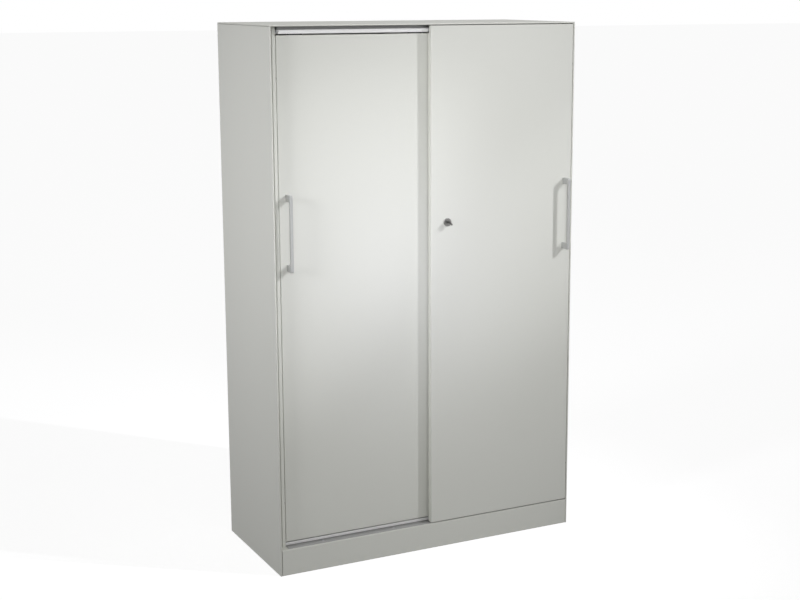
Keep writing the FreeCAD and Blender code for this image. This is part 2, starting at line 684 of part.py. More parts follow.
def door_panel(door):
    """Steel pan, mouth to the back, with slots for its rollers and holes for its handle."""
    face = at(door["face"])
    spans = [(door["left"], door["right"]), (face, face + DOOR_DEPTH), (door["low"], door["top"])]
    shape = pan(spans, DOOR_SHEET, (DOOR_FLANGE, 0, DOOR_SHEET), (1, 1))
    wheel = face + ROLLER_PLANE
    room = ROLLER_WIDTH / 2 + WHEEL_SLOT_GAP
    reach = ROLLER_RADIUS + WHEEL_SLOT_GAP
    for x in roller_x(door):
        lower = (door["low"], door["low"] + DOOR_SHEET)
        shape = shape.cut(block((x - reach, x + reach), (wheel - room, wheel + room), lower))
    for z in screw_heights:
        hole = cylinder("y", SCREW_RADIUS + SCREW_GAP, door["handle"], z, (face, face + DOOR_SHEET))
        shape = shape.cut(hole)
    return shape


def stiffeners(door):
    """Hat sections glued to the back of the sheet: upper, lower and an upright between."""
    inside = at(door["face"]) + DOOR_SHEET
    deep = inside + STIFFENER_DEPTH
    low = door["axle"] + bracket_rise + BRACKET_PLATE
    levels = ((low, low + STIFFENER_HEIGHT), (guide_seat - STIFFENER_HEIGHT, guide_seat))
    end_gap = DOOR_SHEET + BEND + SEAT
    span = (door["left"] + end_gap, door["right"] - end_gap)
    solids = []
    for z0, z1 in levels:
        path = [(inside, z0), (deep, z0), (deep, z1), (inside, z1)]
        solids.append(folded("x", span, path, DOOR_SHEET))
    middle = (door["left"] + door["right"]) / 2
    x0, x1 = middle - POST_WIDTH / 2, middle + POST_WIDTH / 2
    path = [(x1, inside), (x1, deep), (x0, deep), (x0, inside)]
    post_span = (levels[0][1] + SEAT, levels[1][0] - SEAT)
    solids.append(folded("z", post_span, path, DOOR_SHEET))
    return solids


def bow_handle(door):
    """Square bow handle with rounded corners; its two arms are bored for screws."""
    face = at(door["face"])
    nose = face - HANDLE_PROJECTION
    bar = nose + HANDLE_BAR
    z0, z1 = HANDLE_CENTRE - HANDLE_HEIGHT / 2, HANDLE_CENTRE + HANDLE_HEIGHT / 2
    section = [
        (face, z0, 0),
        (face, z0 + HANDLE_ARM, 0),
        (bar, z0 + HANDLE_ARM, HANDLE_INNER_CORNER),
        (bar, z1 - HANDLE_ARM, HANDLE_INNER_CORNER),
        (face, z1 - HANDLE_ARM, 0),
        (face, z1, 0),
        (nose, z1, HANDLE_CORNER),
        (nose, z0, HANDLE_CORNER),
    ]
    x0, x1 = door["handle"] - HANDLE_WIDTH / 2, door["handle"] + HANDLE_WIDTH / 2
    shape = rounded_prism("x", (x0, x1), section)
    flat = [e for e in shape.Edges if e.BoundBox.XLength < 1e-6]
    sides = [e for e in flat if e.BoundBox.YMin < face - 1e-6]
    shape = shape.makeFillet(HANDLE_EDGE, sides)
    for z in screw_heights:
        bore = (face - SCREW_LENGTH + DOOR_SHEET - SEAT, face)
        shape = shape.cut(cylinder("y", SCREW_RADIUS + SCREW_GAP, door["handle"], z, bore))
    return shape


def handle_screws(door):
    """Pan-head screws driven from inside the pan into the handle's arms."""
    inside = at(door["face"]) + DOOR_SHEET
    head = (inside, inside + SCREW_HEAD)
    end = inside - SCREW_LENGTH
    return [
        headed("y", (SCREW_RADIUS, SCREW_HEAD_RADIUS), door["handle"], z, head, end)
        for z in screw_heights
    ]


def roller_brackets(door):
    """Steel forks under the lower stiffener, one over each roller."""
    wheel = at(door["face"]) + ROLLER_PLANE
    inner = ROLLER_WIDTH / 2 + HUB_PROUD + BEARING_GAP
    outer = inner + BRACKET_PLATE
    low, web = door["axle"] - BRACKET_BELOW, door["axle"] + bracket_rise
    solids = []
    for x in roller_x(door):
        path = [(wheel - outer, low), (wheel - outer, web + BRACKET_PLATE)]
        path += [(wheel + outer, web + BRACKET_PLATE), (wheel + outer, low)]
        span = (x - BRACKET_WIDTH / 2, x + BRACKET_WIDTH / 2)
        fork = folded("x", span, path[::-1], BRACKET_PLATE)
        bore = (wheel - outer, wheel + outer)
        hole = cylinder("y", AXLE_RADIUS + BEARING_GAP, x, door["axle"], bore)
        solids.append(fork.cut(hole))
    return solids


def roller_axles(door):
    """Steel pins with a head at each end, outside the fork's plates."""
    wheel = at(door["face"]) + ROLLER_PLANE
    reach = ROLLER_WIDTH / 2 + HUB_PROUD + BEARING_GAP + BRACKET_PLATE
    solids = []
    for x in roller_x(door):
        pin = cylinder("y", AXLE_RADIUS, x, door["axle"], (wheel - reach, wheel + reach))
        for end in (wheel - reach - AXLE_HEAD, wheel + reach):
            head = cylinder("y", AXLE_HEAD_RADIUS, x, door["axle"], (end, end + AXLE_HEAD))
            pin = pin.fuse(head)
        solids.append(pin)
    return solids


def roller(door, x):
    """Grooved plastic roller with a plain bore and a hub on each side."""
    wheel = at(door["face"]) + ROLLER_PLANE
    half, slot = ROLLER_WIDTH / 2, ROLLER_GROOVE_WIDTH / 2
    hub = half + HUB_PROUD
    bore, groove = AXLE_RADIUS + BEARING_GAP, ROLLER_RADIUS - ROLLER_GROOVE
    profile = [
        (bore, -hub), (HUB_RADIUS, -hub), (HUB_RADIUS, -half),
        (ROLLER_RADIUS, -half), (ROLLER_RADIUS, -slot), (groove, -slot),
        (groove, slot), (ROLLER_RADIUS, slot), (ROLLER_RADIUS, half),
        (HUB_RADIUS, half), (HUB_RADIUS, hub), (bore, hub),
    ]
    points = [FreeCAD.Vector(x + r, wheel + y, door["axle"]) for r, y in profile]
    face = Part.Face(Part.makePolygon(points + points[:1]))
    axle = FreeCAD.Vector(x, wheel, door["axle"])
    return face.revolve(axle, FreeCAD.Vector(0, 1, 0), 360)


def edge_buffers(door, side, gap):
    """Rubber buttons on a door's outer edge, that meet the case when the door is shut."""
    depth = at(door["face"] + BUFFER_DEPTH)
    span = sorted((door[side], door[side] + (gap - SEAT) * (1 if side == "right" else -1)))
    heights = (door["low"] + BUFFER_END, door["top"] - BUFFER_END)
    return [cylinder("x", BUFFER_RADIUS, depth, z, span) for z in heights]


def save_door(door, panel, guides, buffers):
    """Writes what both doors have, under the door's name."""
    name = door["name"]
    save(f"{name}_door_panel", panel)
    save(f"{name}_door_stiffeners", *stiffeners(door))
    save(f"{name}_handle", bow_handle(door))
    save(f"{name}_handle_screws", *handle_screws(door))
    save(f"{name}_roller_brackets", *roller_brackets(door))
    save(f"{name}_roller_axles", *roller_axles(door))
    save(f"{name}_top_guides", *guides)
    save(f"{name}_door_buffers", *buffers)
    for place, x in zip(("left", "right"), roller_x(door)):
        save(f"{name}_door_{place}_roller", roller(door, x))


# ---- rear (left) door: its guides rise through the upper return into the rear groove ----
tongue = (at(REAR_GROOVE_FRONT + SLIDE_GAP), at(REAR_GROOVE_BACK - SLIDE_GAP))
rear_panel = door_panel(rear_door)
rear_guides = []
for x in guide_x(rear_door):
    span = (x - GUIDE_LENGTH / 2, x + GUIDE_LENGTH / 2)
    height = (guide_seat + SEAT, rear_door["top"] + GUIDE_RISE)
    rear_guides.append(block(span, tongue, height))
    slot = [(low - SLIDE_GAP, high + SLIDE_GAP) for low, high in (span, tongue)]
    rear_panel = rear_panel.cut(block(*slot, (rear_door["top"] - DOOR_SHEET, rear_door["top"])))

# keeper: an angle on the door's inner edge; the lock's cam stands in its way when locked
lock_x = front_door["left"] + LOCK_INSET
keeper_front = at(DOOR_DEPTH + KEEPER_DEPTH_GAP)
keeper_low = LOCK_HEIGHT + KEEPER_RISE
keeper_end = lock_x - CAM_WIDTH / 2 - KEEPER_CLEARANCE
keeper_back = at(rear_door["face"] + KEEPER_LEG)
keeper_path = [
    (rear_door["right"], keeper_back),
    (rear_door["right"], keeper_front),
    (keeper_end, keeper_front),
]
keeper = folded("z", (keeper_low, keeper_low + KEEPER_HEIGHT), keeper_path, KEEPER_PLATE)
keeper_face = rear_door["right"] + KEEPER_PLATE
keeper_screw_z = keeper_low + KEEPER_HEIGHT / 2
keeper_screws = []
for y in spread(at(rear_door["face"]), keeper_back, 2):
    end = rear_door["right"] - DOOR_SHEET - KEEPER_SCREW_REACH
    hole = cylinder("x", KEEPER_SCREW_RADIUS + SCREW_GAP, y, keeper_screw_z, (end, keeper_face))
    keeper, rear_panel = keeper.cut(hole), rear_panel.cut(hole)
    head = (keeper_face, keeper_face + KEEPER_SCREW_HEAD)
    radii = (KEEPER_SCREW_RADIUS, KEEPER_SCREW_HEAD_RADIUS)
    keeper_screws.append(headed("x", radii, y, keeper_screw_z, head, end))
save("lock_keeper", keeper)
save("keeper_screws", *keeper_screws)
save_door(rear_door, rear_panel, rear_guides, edge_buffers(rear_door, "left", REAR_DOOR_SIDE_GAP))

# ---- front (right) door: notched returns, guides that reach over the fascia, the lock ----
front_panel = door_panel(front_door)
notch_y = (at(FASCIA_TOP_DEPTH - NOTCH_GAP), at(DOOR_DEPTH))
notch_z = (TRACK_FOOT - NOTCH_GAP, front_door["top"] - DOOR_SHEET)
notch_width = DOOR_FLANGE + DOOR_SHEET
for x in (front_door["left"], front_door["right"] - notch_width):
    front_panel = front_panel.cut(block((x, x + notch_width), notch_y, notch_z))
front_panel = front_panel.cut(
    cylinder("y", LOCK_BODY_RADIUS + SCREW_GAP, lock_x, LOCK_HEIGHT, (FRONT, at(DOOR_SHEET)))
)

guide_top = front_door["top"] - DOOR_SHEET - SEAT
body_front = at(DOOR_SHEET + SEAT)
tongue_back = at(MIDDLE_WALL_DEPTH - SLIDE_GAP)
guide_section = [
    (body_front, guide_seat + SEAT),
    (body_front + GUIDE_BODY, guide_seat + SEAT),
    (body_front + GUIDE_BODY, FASCIA_TOP + GUIDE_OVER),
    (tongue_back - GUIDE_TONGUE, FASCIA_TOP + GUIDE_OVER),
    (tongue_back - GUIDE_TONGUE, TRACK_FOOT + TRACK_WALL + GUIDE_DROP),
    (tongue_back, TRACK_FOOT + TRACK_WALL + GUIDE_DROP),
    (tongue_back, guide_top),
    (body_front, guide_top),
]
front_guides = [
    prism("x", (x - GUIDE_LENGTH / 2, x + GUIDE_LENGTH / 2), guide_section)
    for x in guide_x(front_door)
]
save_door(
    front_door, front_panel, front_guides, edge_buffers(front_door, "right", FRONT_DOOR_SIDE_GAP)
)

# lock housing: a collar in front of the sheet and a body behind it, held by a ring nut
collar = (at(-LOCK_COLLAR), FRONT)
body = (FRONT, at(LOCK_BODY_LENGTH))
housing = cylinder("y", LOCK_COLLAR_RADIUS, lock_x, LOCK_HEIGHT, collar)
rim = [e for e in housing.Edges if e.BoundBox.YMax < collar[0] + 1e-6]
housing = housing.makeFillet(LOCK_COLLAR_EDGE, rim)
housing = housing.fuse(cylinder("y", LOCK_BODY_RADIUS, lock_x, LOCK_HEIGHT, body))
bore = (collar[0], body[1])
housing = housing.cut(cylinder("y", PLUG_RADIUS + PLUG_GAP, lock_x, LOCK_HEIGHT, bore))
save("lock_housing", housing)
nut_span = (at(DOOR_SHEET), at(DOOR_SHEET + LOCK_NUT))
nut_bore = LOCK_BODY_RADIUS + SCREW_GAP
save("lock_nut", nut("y", LOCK_NUT_WIDTH, lock_x, LOCK_HEIGHT, nut_span, nut_bore))

# ---- lock plug, cam and key: unlocked, the cam hangs straight down ----------------------
plug_face = at(-LOCK_COLLAR + PLUG_RECESS)
cam_front = keeper_front
cam_back = cam_front + CAM_THICKNESS
shoulder = cam_front - SEAT
tail_back = cam_back + SEAT / 2
lock_axis = FreeCAD.Vector(lock_x, plug_face, LOCK_HEIGHT)


def leaning(shape):
    """Shape turned about the lock's axis, so that its upper end leans to the left."""
    shape.rotate(lock_axis, FreeCAD.Vector(0, 1, 0), -KEY_LEAN)
    return shape


def upright_plate(thickness, width, y):
    """Plate in the plane of the lock's axis and Z, centred on the axis."""
    x = (lock_x - thickness / 2, lock_x + thickness / 2)
    return block(x, y, (LOCK_HEIGHT - width / 2, LOCK_HEIGHT + width / 2))


plug = cylinder("y", PLUG_RADIUS, lock_x, LOCK_HEIGHT, (plug_face, shoulder))
tail = (shoulder, tail_back)
plug = plug.fuse(upright_plate(2 * PLUG_TAIL, 2 * PLUG_TAIL, tail))
key_slot = (plug_face, plug_face + KEY_DEPTH + KEY_GAP)
slot_size = (KEY_THICKNESS + 2 * KEY_GAP, KEY_WIDTH + 2 * KEY_GAP)
plug = plug.cut(leaning(upright_plate(*slot_size, key_slot)))
screw_hole = (tail_back - CAM_SCREW_DEPTH, tail_back)
plug = plug.cut(cylinder("y", CAM_SCREW_RADIUS + SCREW_GAP, lock_x, LOCK_HEIGHT, screw_hole))
save("lock_plug", plug)

cam_span = (cam_front, cam_back)
arm_x = (lock_x - CAM_WIDTH / 2, lock_x + CAM_WIDTH / 2)
cam = cylinder("y", CAM_HUB_RADIUS, lock_x, LOCK_HEIGHT, cam_span)
cam = cam.fuse(block(arm_x, cam_span, (LOCK_HEIGHT - CAM_LENGTH, LOCK_HEIGHT)))
cam = cam.cut(upright_plate(2 * PLUG_TAIL + SCREW_GAP, 2 * PLUG_TAIL + SCREW_GAP, cam_span))
save("lock_cam", cam)
cam_head = (tail_back, tail_back + CAM_SCREW_HEAD)
cam_screw_end = tail_back - CAM_SCREW_DEPTH + SEAT
radii = (CAM_SCREW_RADIUS, CAM_SCREW_HEAD_RADIUS)
save("cam_screw", headed("y", radii, lock_x, LOCK_HEIGHT, cam_head, cam_screw_end))

bow_back = plug_face - KEY_NECK
bow_front = bow_back - KEY_BOW_LENGTH
bow_low, bow_high = LOCK_HEIGHT - KEY_BOW_WIDTH / 2, LOCK_HEIGHT + KEY_BOW_WIDTH / 2
key_x = (lock_x - KEY_THICKNESS / 2, lock_x + KEY_THICKNESS / 2)
bow_section = [(bow_front, bow_low), (bow_back, bow_low), (bow_back, bow_high), (bow_front, bow_high)]
key = prism("x", key_x, bow_section, [KEY_BOW_CORNER] * 4)
key = key.fuse(upright_plate(KEY_THICKNESS, KEY_WIDTH, (bow_back, plug_face + KEY_DEPTH)))
ring_y = bow_front + KEY_BOW_CORNER
key = key.cut(cylinder("x", KEY_RING_RADIUS, ring_y, LOCK_HEIGHT, key_x))
save("key", leaning(key))
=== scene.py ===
import math

import bmesh
import bpy
import numpy as np
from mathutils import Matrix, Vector


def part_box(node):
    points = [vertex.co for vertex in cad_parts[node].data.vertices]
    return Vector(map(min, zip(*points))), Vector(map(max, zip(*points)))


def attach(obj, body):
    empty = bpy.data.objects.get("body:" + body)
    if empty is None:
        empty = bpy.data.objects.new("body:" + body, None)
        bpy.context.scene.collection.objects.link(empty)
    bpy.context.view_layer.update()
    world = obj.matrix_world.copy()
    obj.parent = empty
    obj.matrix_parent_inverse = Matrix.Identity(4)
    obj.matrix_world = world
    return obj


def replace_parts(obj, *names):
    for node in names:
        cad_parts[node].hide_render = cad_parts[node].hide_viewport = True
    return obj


# Steel office cabinet with two doors that slide past each other on rollers, three shelves,
# a plinth and a turning lock. Metres; X runs along the doors, Y to the back and Z up.
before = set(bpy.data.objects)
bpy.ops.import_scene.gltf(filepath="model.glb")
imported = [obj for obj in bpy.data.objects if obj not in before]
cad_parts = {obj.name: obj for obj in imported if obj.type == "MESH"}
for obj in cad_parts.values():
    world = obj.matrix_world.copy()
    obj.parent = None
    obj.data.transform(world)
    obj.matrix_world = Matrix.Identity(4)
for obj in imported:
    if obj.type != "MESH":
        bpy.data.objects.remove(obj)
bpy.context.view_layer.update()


# ---- the studio: a pale floor that runs out into a white surround, lamps and the camera -----
# The floor and the surround only look white. What lights the object is a soft sky, three small
# lamps high on the right and four broader ones in front and on the left.
AMBIENT = 0.315
FLOOR_COLOUR = (0.50, 0.50, 0.50, 1)
FLOOR_GLOW = 0.80
FLOOR_HALF = 60.0
FULL_WHITE = (1, 1, 1, 1)
WHITE, COOL = (0.95, 0.95, 1.0), (0.95, 0.95, 1.14)
RIGHT_STAND, FRONT_STAND = (3.286, -3.057, 3.607), (-1.71, -4.225, 2.508)
# Each lamp: its place, the point that it is aimed at, its radius, the full angle of its cone
# in degrees, its power in watts and its colour.
LAMPS = {
    "right_lamp": (RIGHT_STAND, (0.0, -0.2, 1.1), 0.03, 40, 365, WHITE),
    "left_handle_lamp": ((2.84, -3.057, 3.607), (-0.45, -0.2, 1.0), 0.03, 12, 300, WHITE),
    "right_handle_lamp": (RIGHT_STAND, (0.47, -0.2, 1.0), 0.03, 9, 150, WHITE),
    "front_lamp": (FRONT_STAND, (-0.1, -0.2, 1.3), 1.0, 24, 550, WHITE),
    "front_lamp_on_right_door": (FRONT_STAND, (0.2, -0.2, 1.45), 0.5, 14, 225, WHITE),
    "middle_lamp": ((-1.462, -4.233, 2.512), (-0.1, -0.2, 0.9), 0.3, 10, 255, COOL),
    "left_lamp": ((-4.634, -1.547, 2.184), (-0.5, -0.1, 1.15), 0.6, 28, 350, WHITE),
}
CAMERA_PLACE, CAMERA_YAW, CAMERA_PITCH = (-1.995, -4.086, 1.708), 27.44, -11.21
CAMERA_LENS, CAMERA_SHIFT = 66.42, (-0.0464, -0.02)
SENSOR_WIDTH, CLIP_NEAR, CLIP_FAR = 36, 0.05, 200


def node(tree, kind, inputs, **settings):
    """Adds a shader node, fills its sockets with values or links, and returns it."""
    made = tree.nodes.new(kind)
    for name, value in settings.items():
        setattr(made, name, value)
    for name, value in inputs.items():
        if isinstance(value, bpy.types.NodeSocket):
            tree.links.new(value, made.inputs[name])
        else:
            made.inputs[name].default_value = value
    return made


def seen_directly(tree):
    """1 for rays from the camera, from a mirror or through glass, and 0 for rays that light."""
    path = node(tree, "ShaderNodeLightPath", {}).outputs
    camera, glossy = path["Is Camera Ray"], path["Is Glossy Ray"]
    both = node(tree, "ShaderNodeMath", {0: camera, 1: glossy}, operation="MAXIMUM")
    through = {0: both.outputs[0], 1: path["Is Transmission Ray"]}
    return node(tree, "ShaderNodeMath", through, operation="MAXIMUM").outputs[0]


def pointed(name, held, place, ahead):
    """Puts a lamp or a camera at a place, looking along `ahead` with its top upwards."""
    holder = bpy.data.objects.new(name, held)
    bpy.context.scene.collection.objects.link(holder)
    holder.location = place
    holder.rotation_mode = "QUATERNION"
    holder.rotation_quaternion = ahead.to_track_quat("-Z", "Y")
    return holder


def lamp(name, place, aim, radius, cone, power, colour):
    """Adds a round lamp whose light fades from the middle of its cone to the edge."""
    light = bpy.data.lights.new(name, "SPOT")
    light.energy, light.color, light.shadow_soft_size = power, colour, radius
    light.spot_size, light.spot_blend = math.radians(cone), 1.0
    return pointed(name, light, place, Vector(aim) - Vector(place))


surround = bpy.data.worlds.new("white_surround")
bpy.context.scene.world = surround
surround.use_nodes = True
sky = surround.node_tree
sky.nodes.clear()
soft = node(sky, "ShaderNodeBackground", {"Color": FULL_WHITE, "Strength": AMBIENT})
white = node(sky, "ShaderNodeBackground", {"Color": FULL_WHITE, "Strength": 1.0})
mixed = {0: seen_directly(sky), 1: soft.outputs[0], 2: white.outputs[0]}
sky_seen = node(sky, "ShaderNodeMixShader", mixed)
node(sky, "ShaderNodeOutputWorld", {"Surface": sky_seen.outputs[0]})

floor_paint = bpy.data.materials.new("studio_floor")
floor_paint.use_nodes = True
tree = floor_paint.node_tree
tree.nodes.clear()
matt = node(tree, "ShaderNodeBsdfDiffuse", {"Color": FLOOR_COLOUR})
strength = {0: seen_directly(tree), 1: FLOOR_GLOW}
lift = node(tree, "ShaderNodeMath", strength, operation="MULTIPLY")
glow = node(tree, "ShaderNodeEmission", {"Color": FULL_WHITE, "Strength": lift.outputs[0]})
floor_seen = node(tree, "ShaderNodeAddShader", {0: matt.outputs[0], 1: glow.outputs[0]})
node(tree, "ShaderNodeOutputMaterial", {"Surface": floor_seen.outputs[0]})

square = np.array([(-1, -1, 0), (1, -1, 0), (1, 1, 0), (-1, 1, 0)]) * FLOOR_HALF
floor_mesh = bpy.data.meshes.new("studio_floor")
floor_mesh.from_pydata(square.tolist(), [], [(0, 1, 2, 3)])
floor_mesh.materials.append(floor_paint)
studio_floor = bpy.data.objects.new("studio_floor", floor_mesh)
bpy.context.scene.collection.objects.link(studio_floor)

for lamp_name, settings in LAMPS.items():
    lamp(lamp_name, *settings)

lens = bpy.data.cameras.new("camera")
lens.lens, lens.sensor_width = CAMERA_LENS, SENSOR_WIDTH
lens.shift_x, lens.shift_y = CAMERA_SHIFT
lens.clip_start, lens.clip_end = CLIP_NEAR, CLIP_FAR
yaw, pitch = math.radians(CAMERA_YAW), math.radians(CAMERA_PITCH)
across = math.cos(pitch)
ahead = Vector((math.sin(yaw) * across, math.cos(yaw) * across, math.sin(pitch)))
bpy.context.scene.camera = pointed("camera", lens, CAMERA_PLACE, ahead)
bpy.context.scene.view_settings.view_transform = "Standard"


# ---- side panels: one sheet each, folded into a back flange, the side and a hemmed lip ------
# Mild steel 1.2 mm thick, pressed round tight folds and powder coated light grey; the lip at
# the front is turned back on itself, so its edge is smooth to the hand.
CASE_SHEET = 0.0012
SIDE_FOLD = 0.0004
BACK_FLANGE, LIP, LIP_TURN = 0.022, 0.0045, 0.015
PAINT_COLOUR = (0.70, 0.706, 0.645)

# The two sides and the sign that mirrors the left one's X.
SIDES = (("left", 1), ("right", -1))
X, Y, Z = range(3)
# How near points merge, how short an edge or a face's height is nothing, over how many degrees
# an edge is sharp, and below what sine a turn is none.
MERGE_WITHIN, NO_AREA, SHARP_OVER, STRAIGHT = 2e-6, 1e-6, 35, 1e-9
NOISE_DETAIL, NOISE_ROUGHNESS = 3.0, 0.55
# Sockets of a node that mixes two colours: the first, the second and the result.
FIRST, SECOND, RESULT = 6, 7, 2


def finish(name, colour, roughness, grain, relief, tone, run=(1, 1, 1), polish=0.05,
           metallic=0.0, specular=0.5):
    """Material in object space. One noise, with cells `grain` wide that are drawn out by `run`,
    shifts the colour by the share `tone` and the roughness by `polish`, and stands `relief`
    high in the surface."""
    material = bpy.data.materials.new(name)
    material.use_nodes = True
    tree = material.node_tree
    shader = tree.nodes["Principled BSDF"]
    place = node(tree, "ShaderNodeTexCoord", {}).outputs["Object"]
    scale = [1 / (grain * stretch) for stretch in run]
    cells = node(tree, "ShaderNodeMapping", {"Vector": place, "Scale": scale}).outputs[0]
    noise = {"Vector": cells, "Scale": 1.0, "Detail": NOISE_DETAIL,
             "Roughness": NOISE_ROUGHNESS}
    level = node(tree, "ShaderNodeTexNoise", noise).outputs["Fac"]
    dark, light = ([min(1, c * (1 + side * tone)) for c in colour] for side in (-1, 1))
    shade = node(tree, "ShaderNodeMix", {"Factor": level}, data_type="RGBA")
    shade.inputs[FIRST].default_value = (*dark, 1)
    shade.inputs[SECOND].default_value = (*light, 1)
    limits = {"Value": level, "To Min": roughness - polish, "To Max": roughness + polish}
    gloss = node(tree, "ShaderNodeMapRange", limits).outputs[0]
    raised = node(tree, "ShaderNodeBump", {"Height": level, "Distance": relief}).outputs[0]
    tree.links.new(shade.outputs[RESULT], shader.inputs["Base Color"])
    tree.links.new(gloss, shader.inputs["Roughness"])
    tree.links.new(raised, shader.inputs["Normal"])
    shader.inputs["Metallic"].default_value = metallic
    shader.inputs["Specular IOR Level"].default_value = specular
    return material


def cross(a, b):
    """Cross product of rows of flat vectors, above 0 where `b` turns left of `a`."""
    return a[:, 0] * b[:, 1] - a[:, 1] * b[:, 0]


def corner_arcs(corners, come, leave, radii, steps):
    """Arc round each corner and the left normal along it: the arc's centre lies one radius
    beside its start, and the normal turns by the angle between the two runs."""
    turn = np.arctan2(cross(come, leave), (come * leave).sum(1))
    left = come[:, ::-1] * (-1, 1)
    reach = (np.sign(turn) * radii)[:, None]
    start = corners - come * (radii * np.tan(abs(turn) / 2))[:, None]
    angle = (turn[:, None] * np.linspace(0, 1, steps + 1))[..., None]
    across = np.cos(angle) * left[:, None] - np.sin(angle) * come[:, None]
    points = (start + left * reach)[:, None] - reach[:, None] * across
    return points.reshape(-1, 2), across.reshape(-1, 2)


def folded_sheet(corners, thickness, fold, steps=6):
    """Both faces of a folded sheet's section. The first runs through the corners and is
    rounded by the fold's inner radius, or by that and the thickness where it turns left; the
    second lies one thickness to its left."""
    corners = np.array(corners, float)
    run = np.diff(corners, axis=0)
    run /= np.linalg.norm(run, axis=1, keepdims=True)
    come, leave = run[:-1], run[1:]
    radii = fold + thickness * (cross(come, leave) > STRAIGHT)
    arcs, across = corner_arcs(corners[1:-1], come, leave, radii, steps)
    ends = run[[0, -1], ::-1] * (-1, 1)
    first = np.vstack([corners[:1], arcs, corners[-1:]])
    return first, first + thickness * np.vstack([ends[:1], across, ends[1:]])


def drawn_out(section, axis, stations):
    """Lattice (station, section point): the stations lie along one axis, and the section's
    two values fill the other two in their order."""
    lattice = np.empty((len(stations), len(section), 3))
    lattice[..., axis] = np.array(stations, float)[:, None]
    lattice[..., [a for a in (X, Y, Z) if a != axis]] = section
    return lattice


def lattice_cells(rows, columns, round_rows=False, round_columns=False):
    """Corner numbers of a lattice's cells; a round direction joins its end to its start."""
    row = np.arange(rows - (not round_rows))[:, None]
    column = np.arange(columns - (not round_columns))[None]
    below, right = (row + 1) % rows, (column + 1) % columns
    corners = ((row, column), (below, column), (below, right), (row, right))
    return np.stack([r * columns + c for r, c in corners], -1)


def shell(first, second, kept=None, around=False, meeting=False):
    """Closed skin of a sheet from matching points on its two faces. Every kept cell has a quad
    on each face, and a wall stands on each edge between a kept and a cut cell. There is none
    where a sheet runs around, with its first column repeated at its end, or where its last row
    meets itself in a line."""
    rows, columns = first.shape[:2]
    kept = np.ones((rows - 1, columns - 1), bool) if kept is None else kept
    number = np.arange(rows * columns).reshape(rows, columns)
    near = lattice_cells(rows, columns)[kept]
    walls = []
    ahead = np.pad(kept, ((1, 1), (0, 0)))
    ahead[-1] = meeting & kept[-1]
    beside = np.pad(kept, ((0, 0), (1, 1)), mode="wrap" if around else "constant")
    for before, after, start, end in (
        (ahead[:-1], ahead[1:], number[:, :-1], number[:, 1:]),
        (beside[:, :-1], beside[:, 1:], number[1:], number[:-1]),
    ):
        for edge, a, b in ((after & ~before, start, end), (before & ~after, end, start)):
            a, b = a[edge], b[edge]
            walls.append(np.stack([a, b, b + number.size, a + number.size], -1))
    faces = np.vstack([near, near[:, ::-1] + number.size, *walls])
    return np.vstack([first.reshape(-1, 3), second.reshape(-1, 3)]), [faces]


def piece(name, parts, body, slot, material, *nodes):
    """Makes one object of parts, each its vertices and a list of face arrays. Coinciding points
    are merged, what has no area goes, faces point outwards, edges that turn far stay sharp, and
    it takes the place of its CAD nodes on its body."""
    vertices, faces, count = [], [], 0
    for points, groups in parts:
        vertices.append(np.reshape(points, (-1, 3)))
        faces += [face for group in groups for face in (group + count).tolist()]
        count += len(vertices[-1])
    mesh = bpy.data.meshes.new(name)
    mesh.from_pydata(np.vstack(vertices).tolist(), [], faces)
    work = bmesh.new()
    work.from_mesh(mesh)
    bmesh.ops.remove_doubles(work, verts=work.verts, dist=MERGE_WITHIN)
    bmesh.ops.dissolve_degenerate(work, edges=work.edges, dist=NO_AREA)
    bare = [edge for edge in work.edges if not edge.link_faces]
    bmesh.ops.delete(work, geom=bare, context="EDGES")
    bare = [vertex for vertex in work.verts if not vertex.link_faces]
    bmesh.ops.delete(work, geom=bare, context="VERTS")
    bmesh.ops.recalc_face_normals(work, faces=work.faces)
    work.to_mesh(mesh)
    work.free()
    mesh.shade_smooth()
    mesh.set_sharp_from_angle(angle=math.radians(SHARP_OVER))
    mesh.materials.append(material)
    made = bpy.data.objects.new(name, mesh)
    bpy.context.scene.collection.objects.link(made)
    shading = made.modifiers.new("even_shading", "WEIGHTED_NORMAL")
    shading.keep_sharp = True
    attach(made, body)
    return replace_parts(made, *nodes)


painted_steel = finish("painted_steel", PAINT_COLOUR, 0.42, 0.0016, 0.000012, tone=0.012)

for side, mirror in SIDES:
    node_name = f"{side}_side_panel"
    low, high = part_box(node_name)
    outer, front, back = min(low.x * mirror, high.x * mirror), low.y, high.y
    path = [
        (outer + BACK_FLANGE, back), (outer, back), (outer, front),
        (outer + LIP, front), (outer + LIP, front + LIP_TURN),
    ]
    faces = [drawn_out(face * (mirror, 1), Z, (low.z, high.z))
             for face in folded_sheet(path, CASE_SHEET, SIDE_FOLD)]
    piece(f"{side}_side", [shell(*faces)], "case", "light_grey_paint", painted_steel, node_name)


# ---- top panel: a shallow tray turned mouth down, with a return round its rim ---------------
# The same painted sheet, duller from wiping; its four corners are welded and ground round,
# and it lies on the upper edges of the side panels.
CASE_FOLD = 0.0008
RIM_RETURN = 0.015

wiped_paint = finish("wiped_painted_steel", PAINT_COLOUR, 0.5, 0.0016, 0.000012, tone=0.012,
                     specular=0.15)


